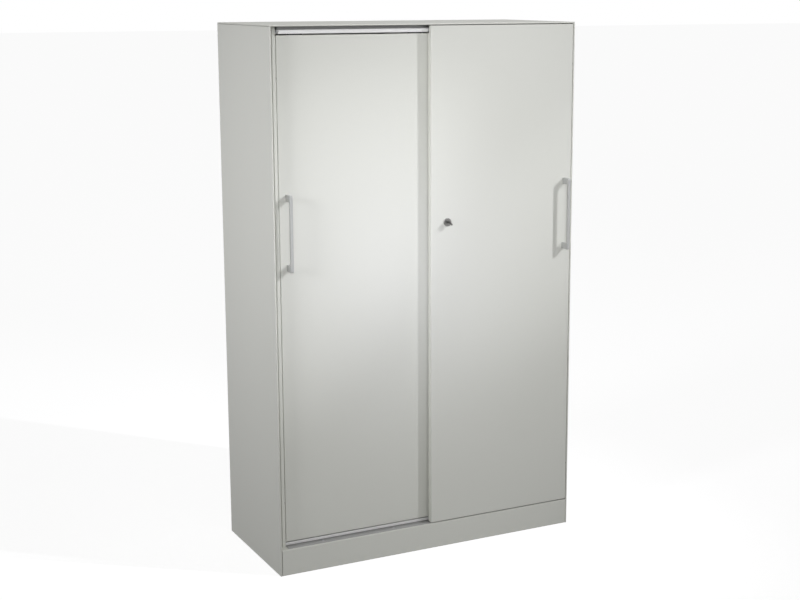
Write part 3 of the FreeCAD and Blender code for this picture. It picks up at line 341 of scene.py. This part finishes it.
def rim_stations(u_stops, v_stops, steps=6):
    """Stations round a rounded rectangle, from its lower left corner counterclockwise: the
    corner centres and the stops between them, and the outward normal of each. The first
    station is repeated at the end."""
    u, v = np.array(u_stops, float), np.array(v_stops, float)
    sides = (
        (u, np.full_like(u, v[0])), (np.full_like(v, u[-1]), v),
        (u[::-1], np.full_like(u, v[-1])), (np.full_like(v, u[0]), v[::-1]),
    )
    centres, angles = [], []
    for quarter, side in enumerate(sides):
        stops = np.stack(side, 1)
        arc = np.linspace(90 * quarter - 180, 90 * quarter - 90, steps + 1)
        centres += [np.repeat(stops[:1], steps + 1, 0), stops]
        angles += [arc, np.full(len(stops), arc[-1])]
    centres, angles = np.vstack(centres), np.radians(np.concatenate(angles))
    normals = np.stack([np.cos(angles), np.sin(angles)], 1)
    return tuple(np.vstack([a, a[:1]]) for a in (centres, normals))


def tray(stations, radius, profile):
    """Lattice (profile point, station) of u, v and depth. A point lies at its station's centre,
    clipped to the rectangle inset by the profile's first value or by the radius, plus the
    normal times what the inset leaves of the radius; its depth is the second value."""
    centres, normals = stations
    inset, depth = profile[:, :1, None], profile[:, 1:, None]
    reach = np.maximum(inset, radius) - radius
    flat = np.clip(centres, centres.min(0) + reach, centres.max(0) - reach)
    flat = flat + normals * np.maximum(radius - inset, 0)
    return np.concatenate([flat, np.broadcast_to(depth, (*flat.shape[:2], 1))], -1)


def lying_tray(low, high, sheet, turn):
    """Skin of a tray that lies mouth down in its box, with a return of width `turn`."""
    radius, edge = CASE_FOLD + sheet, high.z - low.z
    path = [(turn, edge), (0, edge), (0, 0), ((high.y - low.y) / 2, 0)]
    stations = rim_stations((low.x + radius, high.x - radius),
                            (low.y + radius, high.y - radius))
    faces = [tray(stations, radius, face) * (1, 1, -1) + (0, 0, high.z)
             for face in folded_sheet(path, sheet, CASE_FOLD)]
    return shell(*faces, around=True, meeting=True)


top_skin = lying_tray(*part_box("top_panel"), CASE_SHEET, RIM_RETURN)
piece("top", [top_skin], "case", "light_grey_paint", wiped_paint, "top_panel")


# ---- back panel: a thin sheet with three pressed beads, riveted inside the back flanges -----
# Painted steel 1 mm thick; each bead is a shallow channel pressed inwards, with soft slopes
# all round, and the rivets are zinc plated steel.
BACK_SHEET = 0.001
BEADS, BEAD_WIDTH, BEAD_DEPTH = 3, 0.036, 0.003
BEAD_SLOPE, BEAD_END, SLOPE_STOPS = 0.008, 0.090, 7


def pressed(values, start, end, slope):
    """0 outside a stretch and 1 inside it; at each end the smooth S of t squared times
    3 less 2 t runs over the slope's width."""
    t = np.clip(np.minimum(values - start, end - values) / slope, 0, 1)
    return t * t * (3 - 2 * t)


def dress(material, *names):
    """Gives CAD nodes a material in place of the plain one that they come with."""
    for name in names:
        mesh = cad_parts[name].data
        mesh.materials.clear()
        mesh.materials.append(material)


low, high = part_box("back_panel")
middles = low.x + (high.x - low.x) * (np.arange(BEADS) + 0.5) / BEADS
rising = BEAD_SLOPE * np.linspace(0, 1, SLOPE_STOPS)
across = np.concatenate([-BEAD_WIDTH / 2 + rising, BEAD_WIDTH / 2 - rising[::-1]])
bead_low, bead_high = low.z + BEAD_END, high.z - BEAD_END
xs = np.concatenate([[low.x], (middles[:, None] + across).ravel(), [high.x]])
zs = np.concatenate([[low.z], bead_low + rising, bead_high - rising[::-1], [high.z]])
bead_starts = middles - BEAD_WIDTH / 2
shares = pressed(xs[:, None], bead_starts, bead_starts + BEAD_WIDTH, BEAD_SLOPE).sum(1)
depth = BEAD_DEPTH * shares[:, None] * pressed(zs, bead_low, bead_high, BEAD_SLOPE)
grid_x, grid_z = np.meshgrid(xs, zs, indexing="ij")
outer = np.stack([grid_x, high.y - depth, grid_z], -1)
back_skin = shell(outer, outer - (0, BACK_SHEET, 0))
piece("back", [back_skin], "case", "light_grey_paint", painted_steel, "back_panel")

zinc_plate = finish("zinc_plate", (0.60, 0.61, 0.62), 0.34, 0.0025, 0.000006, tone=0.10,
                    polish=0.08, metallic=1.0)
dress(zinc_plate, "back_panel_rivets")


# ---- plinth: a folded front between the side panels, a rear one and a rail along each side --
# The front's upper flange carries the lower track; its ends are closed by welded wings. All
# four are the same painted sheet.
PLINTH_FOOT, WING_DEPTH, WING_FOOT = 0.014, 0.025, 0.0015

low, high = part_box("plinth_front")
path = [(high.y, high.z), (low.y, high.z), (low.y, low.z), (low.y + PLINTH_FOOT, low.z)]
faces = [drawn_out(face, X, (low.x, high.x))
         for face in folded_sheet(path, CASE_SHEET, CASE_FOLD)]
plinth_parts = [shell(*faces)]
wing_y = (low.y + CASE_SHEET, low.y + WING_DEPTH)
wing_z = (low.z + WING_FOOT, high.z - CASE_SHEET)
for x in (low.x, high.x - CASE_SHEET):
    wing = np.stack(np.meshgrid(x, wing_y, wing_z, indexing="ij"), -1)[0]
    plinth_parts.append(shell(wing, wing + (CASE_SHEET, 0, 0)))
piece("plinth", plinth_parts, "case", "light_grey_paint", painted_steel, "plinth_front")
dress(painted_steel, "plinth_rear", "left_base_rail", "right_base_rail")


# ---- cabinet floor and levelling feet -------------------------------------------------------
# The floor is a painted tray like the top; under it four zinc plated feet with round pads screw
# through the base rails, each held by a nut.
FLOOR_RETURN = 0.014

floor_skin = lying_tray(*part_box("cabinet_floor"), CASE_SHEET, FLOOR_RETURN)
piece("bottom", [floor_skin], "case", "light_grey_paint", painted_steel, "cabinet_floor")
dress(zinc_plate, "levelling_feet", "levelling_nuts")


# ---- corner uprights: folded profiles with a row of slots for the shelf clips ---------------
# Painted sheet, spot welded inside the corners of the case; the slots are punched through the
# inner web at one pitch from bottom to top.
UPRIGHT_FACE, UPRIGHT_EDGE = 0.011, 0.010
SLOT_HEIGHT, SLOT_WIDTH, SLOT_PITCH = 0.012, 0.004, 0.032
SLOT_END, SLOT_SETBACK = 0.060, 0.042


def middles_of(lattice):
    """Middle of every cell of a lattice."""
    return (lattice[:-1, :-1] + lattice[1:, :-1] + lattice[1:, 1:] + lattice[:-1, 1:]) / 4


for side, mirror in SIDES:
    for place, inward in (("front", 1), ("rear", -1)):
        node_name = f"{side}_{place}_upright"
        low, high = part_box(node_name)
        web = max(low.x * mirror, high.x * mirror)
        outside = min(low.x * mirror, high.x * mirror)
        near, deep = (low.y, high.y)[::inward]
        slot = near + inward * SLOT_SETBACK
        path = [
            (web - UPRIGHT_FACE, near + inward * UPRIGHT_EDGE), (web - UPRIGHT_FACE, near),
            (web, near), (web, slot - inward * SLOT_WIDTH / 2),
            (web, slot + inward * SLOT_WIDTH / 2), (web, deep), (outside, deep),
        ]
        slots = np.arange(low.z + SLOT_END, high.z - SLOT_END, SLOT_PITCH)
        edges = (slots[:, None] + SLOT_HEIGHT / 2 * np.array([-1, 1])).ravel()
        levels = np.concatenate([[low.z], edges, [high.z]])
        faces = [drawn_out(face, Z, levels)
                 for face in folded_sheet(path[::inward], CASE_SHEET, CASE_FOLD)]
        x, y, z = np.moveaxis(middles_of(faces[0]), -1, 0)
        punched = (x > web - CASE_SHEET) & (abs(y - slot) < SLOT_WIDTH / 2)
        punched &= abs(z[..., None] - slots).min(-1) < SLOT_HEIGHT / 2
        part = shell(*[face * (mirror, 1, 1) for face in faces], kept=~punched)
        piece(f"{side}_{place}_post", [part], "case", "light_grey_paint", painted_steel,
              node_name)


# ---- upper track: one extrusion; its front groove opens upwards and its rear one down -------
# Aluminium with fine die lines along its length; the slanted fascia, with a hairline groove, is
# anodised bright, and the channel behind it is coloured dark grey as painted shade, for the
# shadow under the top's rim. Steel rivets hold the track.
TRACK_WALL, TRACK_EDGE = 0.0016, 0.0003
FASCIA_TOP, FASCIA_FOOT, FASCIA_GROOVE = (0.015, 0.010), (0.0205, 0.0), 0.0005
MIDDLE_WALL, REAR_WALL = 0.0310, 0.0470
# Painted shade: the dark grey that the track takes above the fascia, where its channel lies in
# shadow under the top's rim.
CHANNEL_SHADE_COLOUR, FASCIA_MARGIN = (0.30, 0.30, 0.295, 1), 0.0006
DIE_LINES = (400, 1, 1)

bright_track = finish("bright_aluminium", (0.90, 0.90, 0.89), 0.34, 0.0007, 0.000004,
                      tone=0.03, run=DIE_LINES, polish=0.04, metallic=0.35)


def recolour_above(material, level, width, colour):
    """Mixes another colour in where Z is over a level; the share rises over a width."""
    tree = material.node_tree
    base = tree.nodes["Principled BSDF"].inputs["Base Color"]
    place = node(tree, "ShaderNodeTexCoord", {}).outputs["Object"]
    height = node(tree, "ShaderNodeSeparateXYZ", {"Vector": place}).outputs["Z"]
    limits = {"Value": height, "From Min": level, "From Max": level + width}
    share = node(tree, "ShaderNodeMapRange", limits).outputs[0]
    mixed = node(tree, "ShaderNodeMix", {"Factor": share}, data_type="RGBA")
    tree.links.new(base.links[0].from_socket, mixed.inputs[FIRST])
    mixed.inputs[SECOND].default_value = colour
    tree.links.new(mixed.outputs[RESULT], base)


def rounded_loop(corners, radii, steps=6):
    """Closed outline through counterclockwise corners, each rounded by an arc of its radius,
    and the outward normal at every point."""
    corners = np.array(corners, float)
    run = corners - np.roll(corners, 1, 0)
    run /= np.linalg.norm(run, axis=1, keepdims=True)
    radii = np.broadcast_to(np.array(radii, float), len(corners))
    points, across = corner_arcs(corners, run, np.roll(run, -1, 0), radii, steps)
    return points, -across


def bar(rings):
    """Closed skin through a row of rings of points, with a flat face at each end."""
    rows, columns = rings.shape[:2]
    sides = lattice_cells(rows, columns, round_columns=True).reshape(-1, 4)
    end = np.arange(columns)[None]
    return rings, [sides, end, end + (rows - 1) * columns]


low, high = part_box("upper_track")
fascia_top = low.z + FASCIA_TOP[1] + FASCIA_MARGIN
# Paints shade on the channel: the track is coloured dark grey from just over the fascia's top
# upwards.
recolour_above(bright_track, fascia_top, FASCIA_MARGIN, CHANNEL_SHADE_COLOUR)
case_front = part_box("top_panel")[0].y
upper, foot = np.array(FASCIA_TOP), np.array(FASCIA_FOOT)
slant = (foot - upper) / np.linalg.norm(foot - upper)
inward = np.array([-slant[1], slant[0]])
lip = upper + TRACK_WALL * inward
floor_corner = lip + slant * (lip[1] - TRACK_WALL) / -slant[1]
hairline = (upper + foot) / 2
crown = high.z - low.z
ceiling, rear_face = crown - TRACK_WALL, REAR_WALL - TRACK_WALL
middle_face = MIDDLE_WALL - TRACK_WALL
groove = [hairline - slant * FASCIA_GROOVE, hairline + inward * FASCIA_GROOVE,
          hairline + slant * FASCIA_GROOVE]
walls = [
    foot, (MIDDLE_WALL, 0), (MIDDLE_WALL, ceiling), (rear_face, ceiling), (rear_face, 0),
    (REAR_WALL, 0), (REAR_WALL, crown), (middle_face, crown), (middle_face, TRACK_WALL),
    floor_corner, lip,
]
section = np.array([upper, *groove, *walls])
radii = [TRACK_EDGE, *[0] * len(groove), *[TRACK_EDGE] * len(walls)]
outline, _ = rounded_loop(section + (case_front, low.z), radii, steps=3)
track_part = bar(drawn_out(outline, X, (low.x, high.x)))
piece("head_track", [track_part], "case", "track_aluminium", bright_track, "upper_track")
dress(zinc_plate, "upper_track_rivets")
dress(painted_steel, "top_front_rail")


# ---- lower track: a stepped extrusion with a running bead for each door's rollers -----------
# Mill finished aluminium, coloured mid grey up to the top of the recess and pale grey from
# there up; the rear step is level with the floor, and a recess runs along the foot of its
# riser. Rivets hold it to the plinth.
TRACK_STEP, UNDERCUT_HEIGHT, UNDERCUT_DEPTH = 0.028, 0.0035, 0.003
BEAD_WIDE, BEAD_TALL = 0.003, 0.0016
FRONT_BEAD, REAR_BEAD = 0.010, 0.038
BASE_THICK, STEP_EDGE = 0.0012, 0.0008
RISER_COLOUR, RISER_MARGIN = (0.74, 0.74, 0.725, 1), 0.0003

track_darker_below_riser = finish("mill_finish_aluminium", (0.40, 0.40, 0.39), 0.42, 0.0007, 0.000004,
                    tone=0.04, run=DIE_LINES, polish=0.04, metallic=0.25)


def running_bead(middle, level):
    """Corners of a bead that stands on a level of the track, from its back to its front: depth,
    height and radius."""
    back, near, crest = middle + BEAD_WIDE / 2, middle - BEAD_WIDE / 2, level + BEAD_TALL
    return [(back, level, 0), (back, crest, STEP_EDGE), (near, crest, STEP_EDGE),
            (near, level, 0)]


low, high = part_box("lower_track")
step, roof = high.z - low.z - BEAD_TALL, BASE_THICK + UNDERCUT_HEIGHT
# The track is mid grey below the top of the riser's recess and pale grey from there up.
recolour_above(track_darker_below_riser, low.z + roof - RISER_MARGIN, RISER_MARGIN, RISER_COLOUR)
start, end = low.y - case_front, high.y - case_front
nook = TRACK_STEP + UNDERCUT_DEPTH
section = np.array([
    (start, 0, 0), (end, 0, 0), (end, step, STEP_EDGE), *running_bead(REAR_BEAD, step),
    (TRACK_STEP, step, STEP_EDGE), (TRACK_STEP, roof, 0), (nook, roof, 0),
    (nook, BASE_THICK, 0), *running_bead(FRONT_BEAD, BASE_THICK),
    (start, BASE_THICK, BASE_THICK / 2),
])
outline, _ = rounded_loop(section[:, :2] + (case_front, low.z), section[:, 2], steps=3)
track_part = bar(drawn_out(outline, X, (low.x, high.x)))
piece("foot_track", [track_part], "case", "track_aluminium", track_darker_below_riser, "lower_track")
dress(zinc_plate, "lower_track_rivets")


# ---- shelves: painted trays on zinc plated clips that hook into the uprights' slots ---------
# Steel 1 mm thick, folded down all round and returned, as stiff as a box; four clips hold
# each, and it can be hung at any slot.
SHELF_SHEET, SHELF_RETURN = 0.001, 0.012

for level in ("lower", "middle", "upper"):
    skin = lying_tray(*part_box(f"{level}_shelf"), SHELF_SHEET, SHELF_RETURN)
    piece(f"{level}_board", [skin], "case", "light_grey_paint", painted_steel, f"{level}_shelf")
dress(zinc_plate, "shelf_clips")


# ---- doors: steel pans, mouth to the back, with returns down both sides ---------------------
# Steel 1 mm thick; the lower return is slotted for the rollers, the left door's upper one for
# its guides, and the right door's sides are notched to pass round the upper track.
DOOR_SHEET, DOOR_FOLD, DOOR_RETURN = 0.001, 0.0008, 0.012
ROLLER_PLANE, ROLLER_SLOT_HALF, ROLLER_SLOT_DEEP = 0.010, 0.0135, 0.006
GUIDE_LENGTH, GUIDE_SLOT_GAP = 0.040, 0.0005
NOTCH_LOW, NOTCH_DEPTH, NOTCH_HALF = 0.0215, 0.012, 0.013
SIDEWAYS_OVER = 0.999


def door_pan(low, high, slots):
    """Skin of a door pan. Each slot is a box of three ranges, of X, depth and Z, and every
    wall cell with its middle in it is cut; so are the returns beyond the two upright sides."""
    radius, deep = DOOR_FOLD + DOOR_SHEET, high.y - low.y
    depths = sorted({d for _, depth, _ in slots for d in depth if d < deep}, reverse=True)
    path = [(DOOR_RETURN, deep), (0, deep), *[(0, d) for d in depths], (0, 0)]
    path.append(((high.x - low.x) / 2, 0))
    stops = []
    for axis in (X, Z):
        inside = [v for slot in slots for v in slot[axis]]
        ends = [low[axis] + radius, high[axis] - radius]
        stops.append(sorted({v for v in inside if ends[0] < v < ends[1]} | set(ends)))
    stations = rim_stations(*stops)
    faces = [tray(stations, radius, face)
             for face in folded_sheet(path, DOOR_SHEET, DOOR_FOLD)]
    x, z, depth = np.moveaxis(middles_of(faces[0]), -1, 0)
    sideways = abs(stations[1][:, 0]) > SIDEWAYS_OVER
    cut = (depth > deep - radius) & ~(sideways[:-1] & sideways[1:])
    for (x0, x1), (d0, d1), (z0, z1) in slots:
        inside = (x > x0) & (x < x1) & (z > z0) & (z < z1) & (depth > d0) & (depth < d1)
        cut |= inside & (depth > radius)
    faces = [face[..., [0, 2, 1]] + (0, low.y, 0) for face in faces]
    return shell(*faces, kept=~cut, around=True, meeting=True)


for side in ("left", "right"):
    low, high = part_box(f"{side}_door_panel")
    slots = []
    for place in ("left", "right"):
        wheel_low, wheel_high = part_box(f"{side}_door_{place}_roller")
        x = (wheel_low.x + wheel_high.x) / 2
        slots.append(((x - ROLLER_SLOT_HALF, x + ROLLER_SLOT_HALF),
                      (ROLLER_PLANE - ROLLER_SLOT_DEEP, ROLLER_PLANE + ROLLER_SLOT_DEEP),
                      (low.z - DOOR_SHEET, low.z + DOOR_SHEET)))
    if side == "left":
        guide_low, guide_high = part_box(f"{side}_top_guides")
        depth = (guide_low.y - GUIDE_SLOT_GAP - low.y, guide_high.y + GUIDE_SLOT_GAP - low.y)
        for x in (guide_low.x, guide_high.x - GUIDE_LENGTH):
            slots.append(((x - GUIDE_SLOT_GAP, x + GUIDE_LENGTH + GUIDE_SLOT_GAP), depth,
                          (high.z - DOOR_SHEET, high.z + DOOR_SHEET)))
    else:
        notch = (high.z - NOTCH_LOW, high.z - DOOR_SHEET)
        for x in (low.x, high.x):
            slots.append(((x - NOTCH_HALF, x + NOTCH_HALF), (NOTCH_DEPTH, math.inf), notch))
    pan = door_pan(low, high, slots)
    piece(f"{side}_door", [pan], f"{side}_door", "light_grey_paint", painted_steel,
          f"{side}_door_panel")
    dress(painted_steel, f"{side}_door_stiffeners")


# ---- what the doors run on: grooved rollers on pins in forks, top guides and end buffers ----
# Rollers are turned from white polyamide, forks and pins zinc plated steel, guides moulded
# dark polyamide, and the buffers rubber buttons pressed into the doors' outer edges.
ROLLER_BORE, HUB_RADIUS, GROOVE_RADIUS, ROLLER_RADIUS = 0.00255, 0.0045, 0.0105, 0.012
GROOVE_HALF, ROLLER_HALF, HUB_HALF = 0.0021, 0.0045, 0.0053
ROLLER_EDGE, BUFFER_EDGE = 0.0003, 0.0004

nylon = finish("natural_polyamide", (0.80, 0.79, 0.74), 0.45, 0.0012, 0.000010, tone=0.03)
dark_nylon = finish("dark_polyamide", (0.045, 0.045, 0.046), 0.5, 0.0010, 0.000015, tone=0.15)
rubber = finish("black_rubber", (0.020, 0.020, 0.020), 0.75, 0.0008, 0.000020, tone=0.2)


def turned(outline, centre, axis, steps=48):
    """Closed skin of an outline of (radius, place along the axis) turned about an axis: its
    radius swings through a full turn of the other two axes."""
    angle = np.linspace(0, 2 * math.pi, steps, endpoint=False)
    lattice = np.empty((len(outline), steps, 3))
    others = [a for a in (X, Y, Z) if a != axis]
    lattice[..., axis] = outline[:, 1:]
    lattice[..., others[0]] = centre[0] + outline[:, :1] * np.cos(angle)
    lattice[..., others[1]] = centre[1] + outline[:, :1] * np.sin(angle)
    return lattice, [lattice_cells(*lattice.shape[:2], True, True).reshape(-1, 4)]


half = [
    (ROLLER_BORE, HUB_HALF), (HUB_RADIUS, HUB_HALF), (HUB_RADIUS, ROLLER_HALF),
    (ROLLER_RADIUS, ROLLER_HALF), (ROLLER_RADIUS, GROOVE_HALF), (GROOVE_RADIUS, GROOVE_HALF),
]
corners = [*[(radius, -place) for radius, place in half], *half[::-1]]
roller_outline, _ = rounded_loop(corners, ROLLER_EDGE, steps=3)
for side in ("left", "right"):
    for place in ("left", "right"):
        name = f"{side}_door_{place}"
        low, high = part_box(f"{name}_roller")
        middle = (low + high) / 2
        wheel = turned(roller_outline + (0, middle.y), (middle.x, middle.z), Y)
        piece(f"{name}_wheel", [wheel], f"{name}_wheel", "roller_plastic", nylon,
              f"{name}_roller")
    low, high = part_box(f"{side}_door_buffers")
    radius = (high.y - low.y) / 2
    tip = 1 if side == "right" else -1
    base, crown = (low.x, high.x)[::tip]
    outline = [(0, base), (radius, base), (radius, crown), (0, crown)][::tip]
    outline, _ = rounded_loop(outline, [0, 0, BUFFER_EDGE, 0][::tip], steps=4)
    buttons = [turned(outline, ((low.y + high.y) / 2, z), X, steps=32)
               for z in (low.z + radius, high.z - radius)]
    piece(f"{side}_bumpers", buttons, f"{side}_door", "buffer_rubber", rubber,
          f"{side}_door_buffers")
    dress(zinc_plate, f"{side}_roller_brackets", f"{side}_roller_axles",
          f"{side}_handle_screws")
    dress(dark_nylon, f"{side}_top_guides")


# ---- handles: square bows with two broad feet, one near each door's outer edge --------------
# Cast in light alloy, blasted and lacquered satin silver; the outline is rounded at the nose
# and every side edge is eased. Two screws from inside the pan hold each.
HANDLE_BAR, HANDLE_ARM = 0.008, 0.019
HANDLE_CORNER, HANDLE_INNER_CORNER, HANDLE_EDGE = 0.005, 0.004, 0.0012
HANDLE_ROOT, EASING_STOPS = 0.002, 6

satin_alloy = finish("satin_alloy", (0.46, 0.465, 0.45), 0.45, 0.0009, 0.000008, tone=0.05,
                     metallic=0.2)

swing = np.linspace(0, math.pi / 2, EASING_STOPS)
eased, drawn_in = HANDLE_EDGE * (1 - np.cos(swing)), HANDLE_EDGE * (1 - np.sin(swing))
insets = np.concatenate([drawn_in, drawn_in[::-1]])
for side in ("left", "right"):
    low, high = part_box(f"{side}_handle")
    nose, root, bar_back = low.y, high.y + HANDLE_ROOT, low.y + HANDLE_BAR
    shoulders = (low.z + HANDLE_ARM, high.z - HANDLE_ARM)
    corners = [
        (nose, low.z, HANDLE_CORNER), (root, low.z, 0), (root, shoulders[0], 0),
        (bar_back, shoulders[0], HANDLE_INNER_CORNER),
        (bar_back, shoulders[1], HANDLE_INNER_CORNER), (root, shoulders[1], 0),
        (root, high.z, 0), (nose, high.z, HANDLE_CORNER),
    ]
    outline, normals = rounded_loop([c[:2] for c in corners], [c[2] for c in corners], steps=8)
    xs = np.concatenate([low.x + eased, high.x - eased[::-1]])
    rings = np.concatenate([drawn_out(outline - normals * inset, X, [x])
                            for x, inset in zip(xs, insets)])
    rings[..., 1] = np.minimum(rings[..., 1], high.y)
    piece(f"{side}_bow", [bar(rings)], f"{side}_door", "handle_aluminium", satin_alloy,
          f"{side}_handle")


# ---- lock: a collared housing, a turning plug with its cam, and the keeper on the left door -
# Nickel plated, slightly dark; a hexagon nut behind the sheet holds the housing, and the cam
# swings up beside the zinc plated keeper to bar both doors.
COLLAR, COLLAR_EDGE, BORE_EDGE = 0.003, 0.0010, 0.0004
BODY_RADIUS, PLUG_BORE = 0.009, 0.00665

nickel = finish("satin_nickel", (0.25, 0.248, 0.24), 0.30, 0.0010, 0.000004, tone=0.08,
                metallic=1.0)
low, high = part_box("lock_housing")
lock_x, lock_z = (low.x + high.x) / 2, (low.z + high.z) / 2
collar_radius, neck = (high.x - low.x) / 2, low.y + COLLAR
corners = [(PLUG_BORE, low.y, BORE_EDGE), (collar_radius, low.y, COLLAR_EDGE),
           (collar_radius, neck, 0), (BODY_RADIUS, neck, 0), (BODY_RADIUS, high.y, BORE_EDGE),
           (PLUG_BORE, high.y, 0)]
outline, _ = rounded_loop([c[:2] for c in corners], [c[2] for c in corners])
housing = turned(outline, (lock_x, lock_z), Y, steps=64)
piece("lock_barrel", [housing], "right_door", "lock_metal", nickel, "lock_housing")
dress(nickel, "lock_plug")
dress(zinc_plate, "lock_nut", "lock_cam", "cam_screw", "lock_keeper", "keeper_screws")


# ---- key: a stamped bow with a ring hole and a grooved, bitted blade ------------------------
# Nickel plated brass, worn at the bow; it leans to the left, as the lock stands when it is
# open, and pulls straight out.
KEY_HALF, KEY_EDGE, KEY_LEAN = 0.0011, 0.0003, 40
BOW_LENGTH, BOW_WIDTH, BOW_CORNER, RING_RADIUS, RING_INSET = 0.014, 0.017, 0.004, 0.0026, 0.004
BLADE_HALF, GROOVE_DEPTH, NECK, BLADE_OVERLAP = 0.0037, 0.0004, 0.0095, 0.001
BLADE_STATIONS = 64
# The bits are a wave; its mean and swing are shares of their depth.
BIT_DEPTH, BIT_PITCH, BIT_MEAN, BIT_SWING = 0.0014, 0.0032, 0.55, 0.45
# The tip is the last of this many parts of the bitted length, and ends above the middle.
TIP_PARTS, TIP_RISE = 6, 0.0012
# Shares of the blade's width, between which lie an eased edge, a face, the groove's wall, its
# floor, its other wall, a face and an eased edge.
BLADE_SHARES = (0, 0.06, 0.42, 0.47, 0.62, 0.67, 0.94, 1)

worn_nickel = finish("worn_nickel", (0.14, 0.138, 0.132), 0.36, 0.0008, 0.000006, tone=0.12,
                     polish=0.1, metallic=1.0)
low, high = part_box("key")
bow_back = low.y + BOW_LENGTH
outline, _ = rounded_loop([(low.y, -BOW_WIDTH / 2), (bow_back, -BOW_WIDTH / 2),
                           (bow_back, BOW_WIDTH / 2), (low.y, BOW_WIDTH / 2)], BOW_CORNER)
outline = np.vstack([outline, outline[:1]])
ring = np.array([low.y + RING_INSET, 0])
away = (outline - ring) / np.linalg.norm(outline - ring, axis=1, keepdims=True)
rows = [ring + away * RING_RADIUS, ring + away * (RING_RADIUS + KEY_EDGE),
        outline - away * KEY_EDGE, outline]
bow = np.stack(rows)
half = KEY_HALF - KEY_EDGE * np.array([1, 0, 0, 1])
bow = np.concatenate([np.broadcast_to(half[:, None, None], (*bow.shape[:2], 1)), bow], -1)
ys = np.linspace(bow_back - BLADE_OVERLAP, high.y, BLADE_STATIONS)
inside = np.clip((ys - bow_back - NECK) / (high.y - bow_back - NECK), 0, 1)
wave = np.cos(2 * math.pi * (ys - bow_back) / BIT_PITCH)
cuts = BIT_DEPTH * (BIT_MEAN - BIT_SWING * wave) * (inside > 0)
tip = (BLADE_HALF + TIP_RISE) * np.clip(inside * TIP_PARTS - (TIP_PARTS - 1), 0, 1)
foot = -BLADE_HALF + cuts + tip
thick = KEY_HALF - np.array([KEY_EDGE, 0, 0, GROOVE_DEPTH, GROOVE_DEPTH, 0, 0, KEY_EDGE])
width = foot[:, None] + (BLADE_HALF - foot)[:, None] * np.array(BLADE_SHARES)
blade = np.stack([np.broadcast_to(thick, width.shape),
                  np.broadcast_to(ys[:, None], width.shape), width], -1)
lean = math.radians(-KEY_LEAN)
turn = np.array([[math.cos(lean), 0, -math.sin(lean)], [0, 1, 0],
                 [math.sin(lean), 0, math.cos(lean)]])
key_parts = []
for plate, around in ((bow, True), (blade, False)):
    faces = [(plate * (side, 1, 1)) @ turn + (lock_x, 0, lock_z) for side in (1, -1)]
    key_parts.append(shell(*faces, around=around))
piece("lock_key", key_parts, "door_key", "key_metal", worn_nickel, "key")
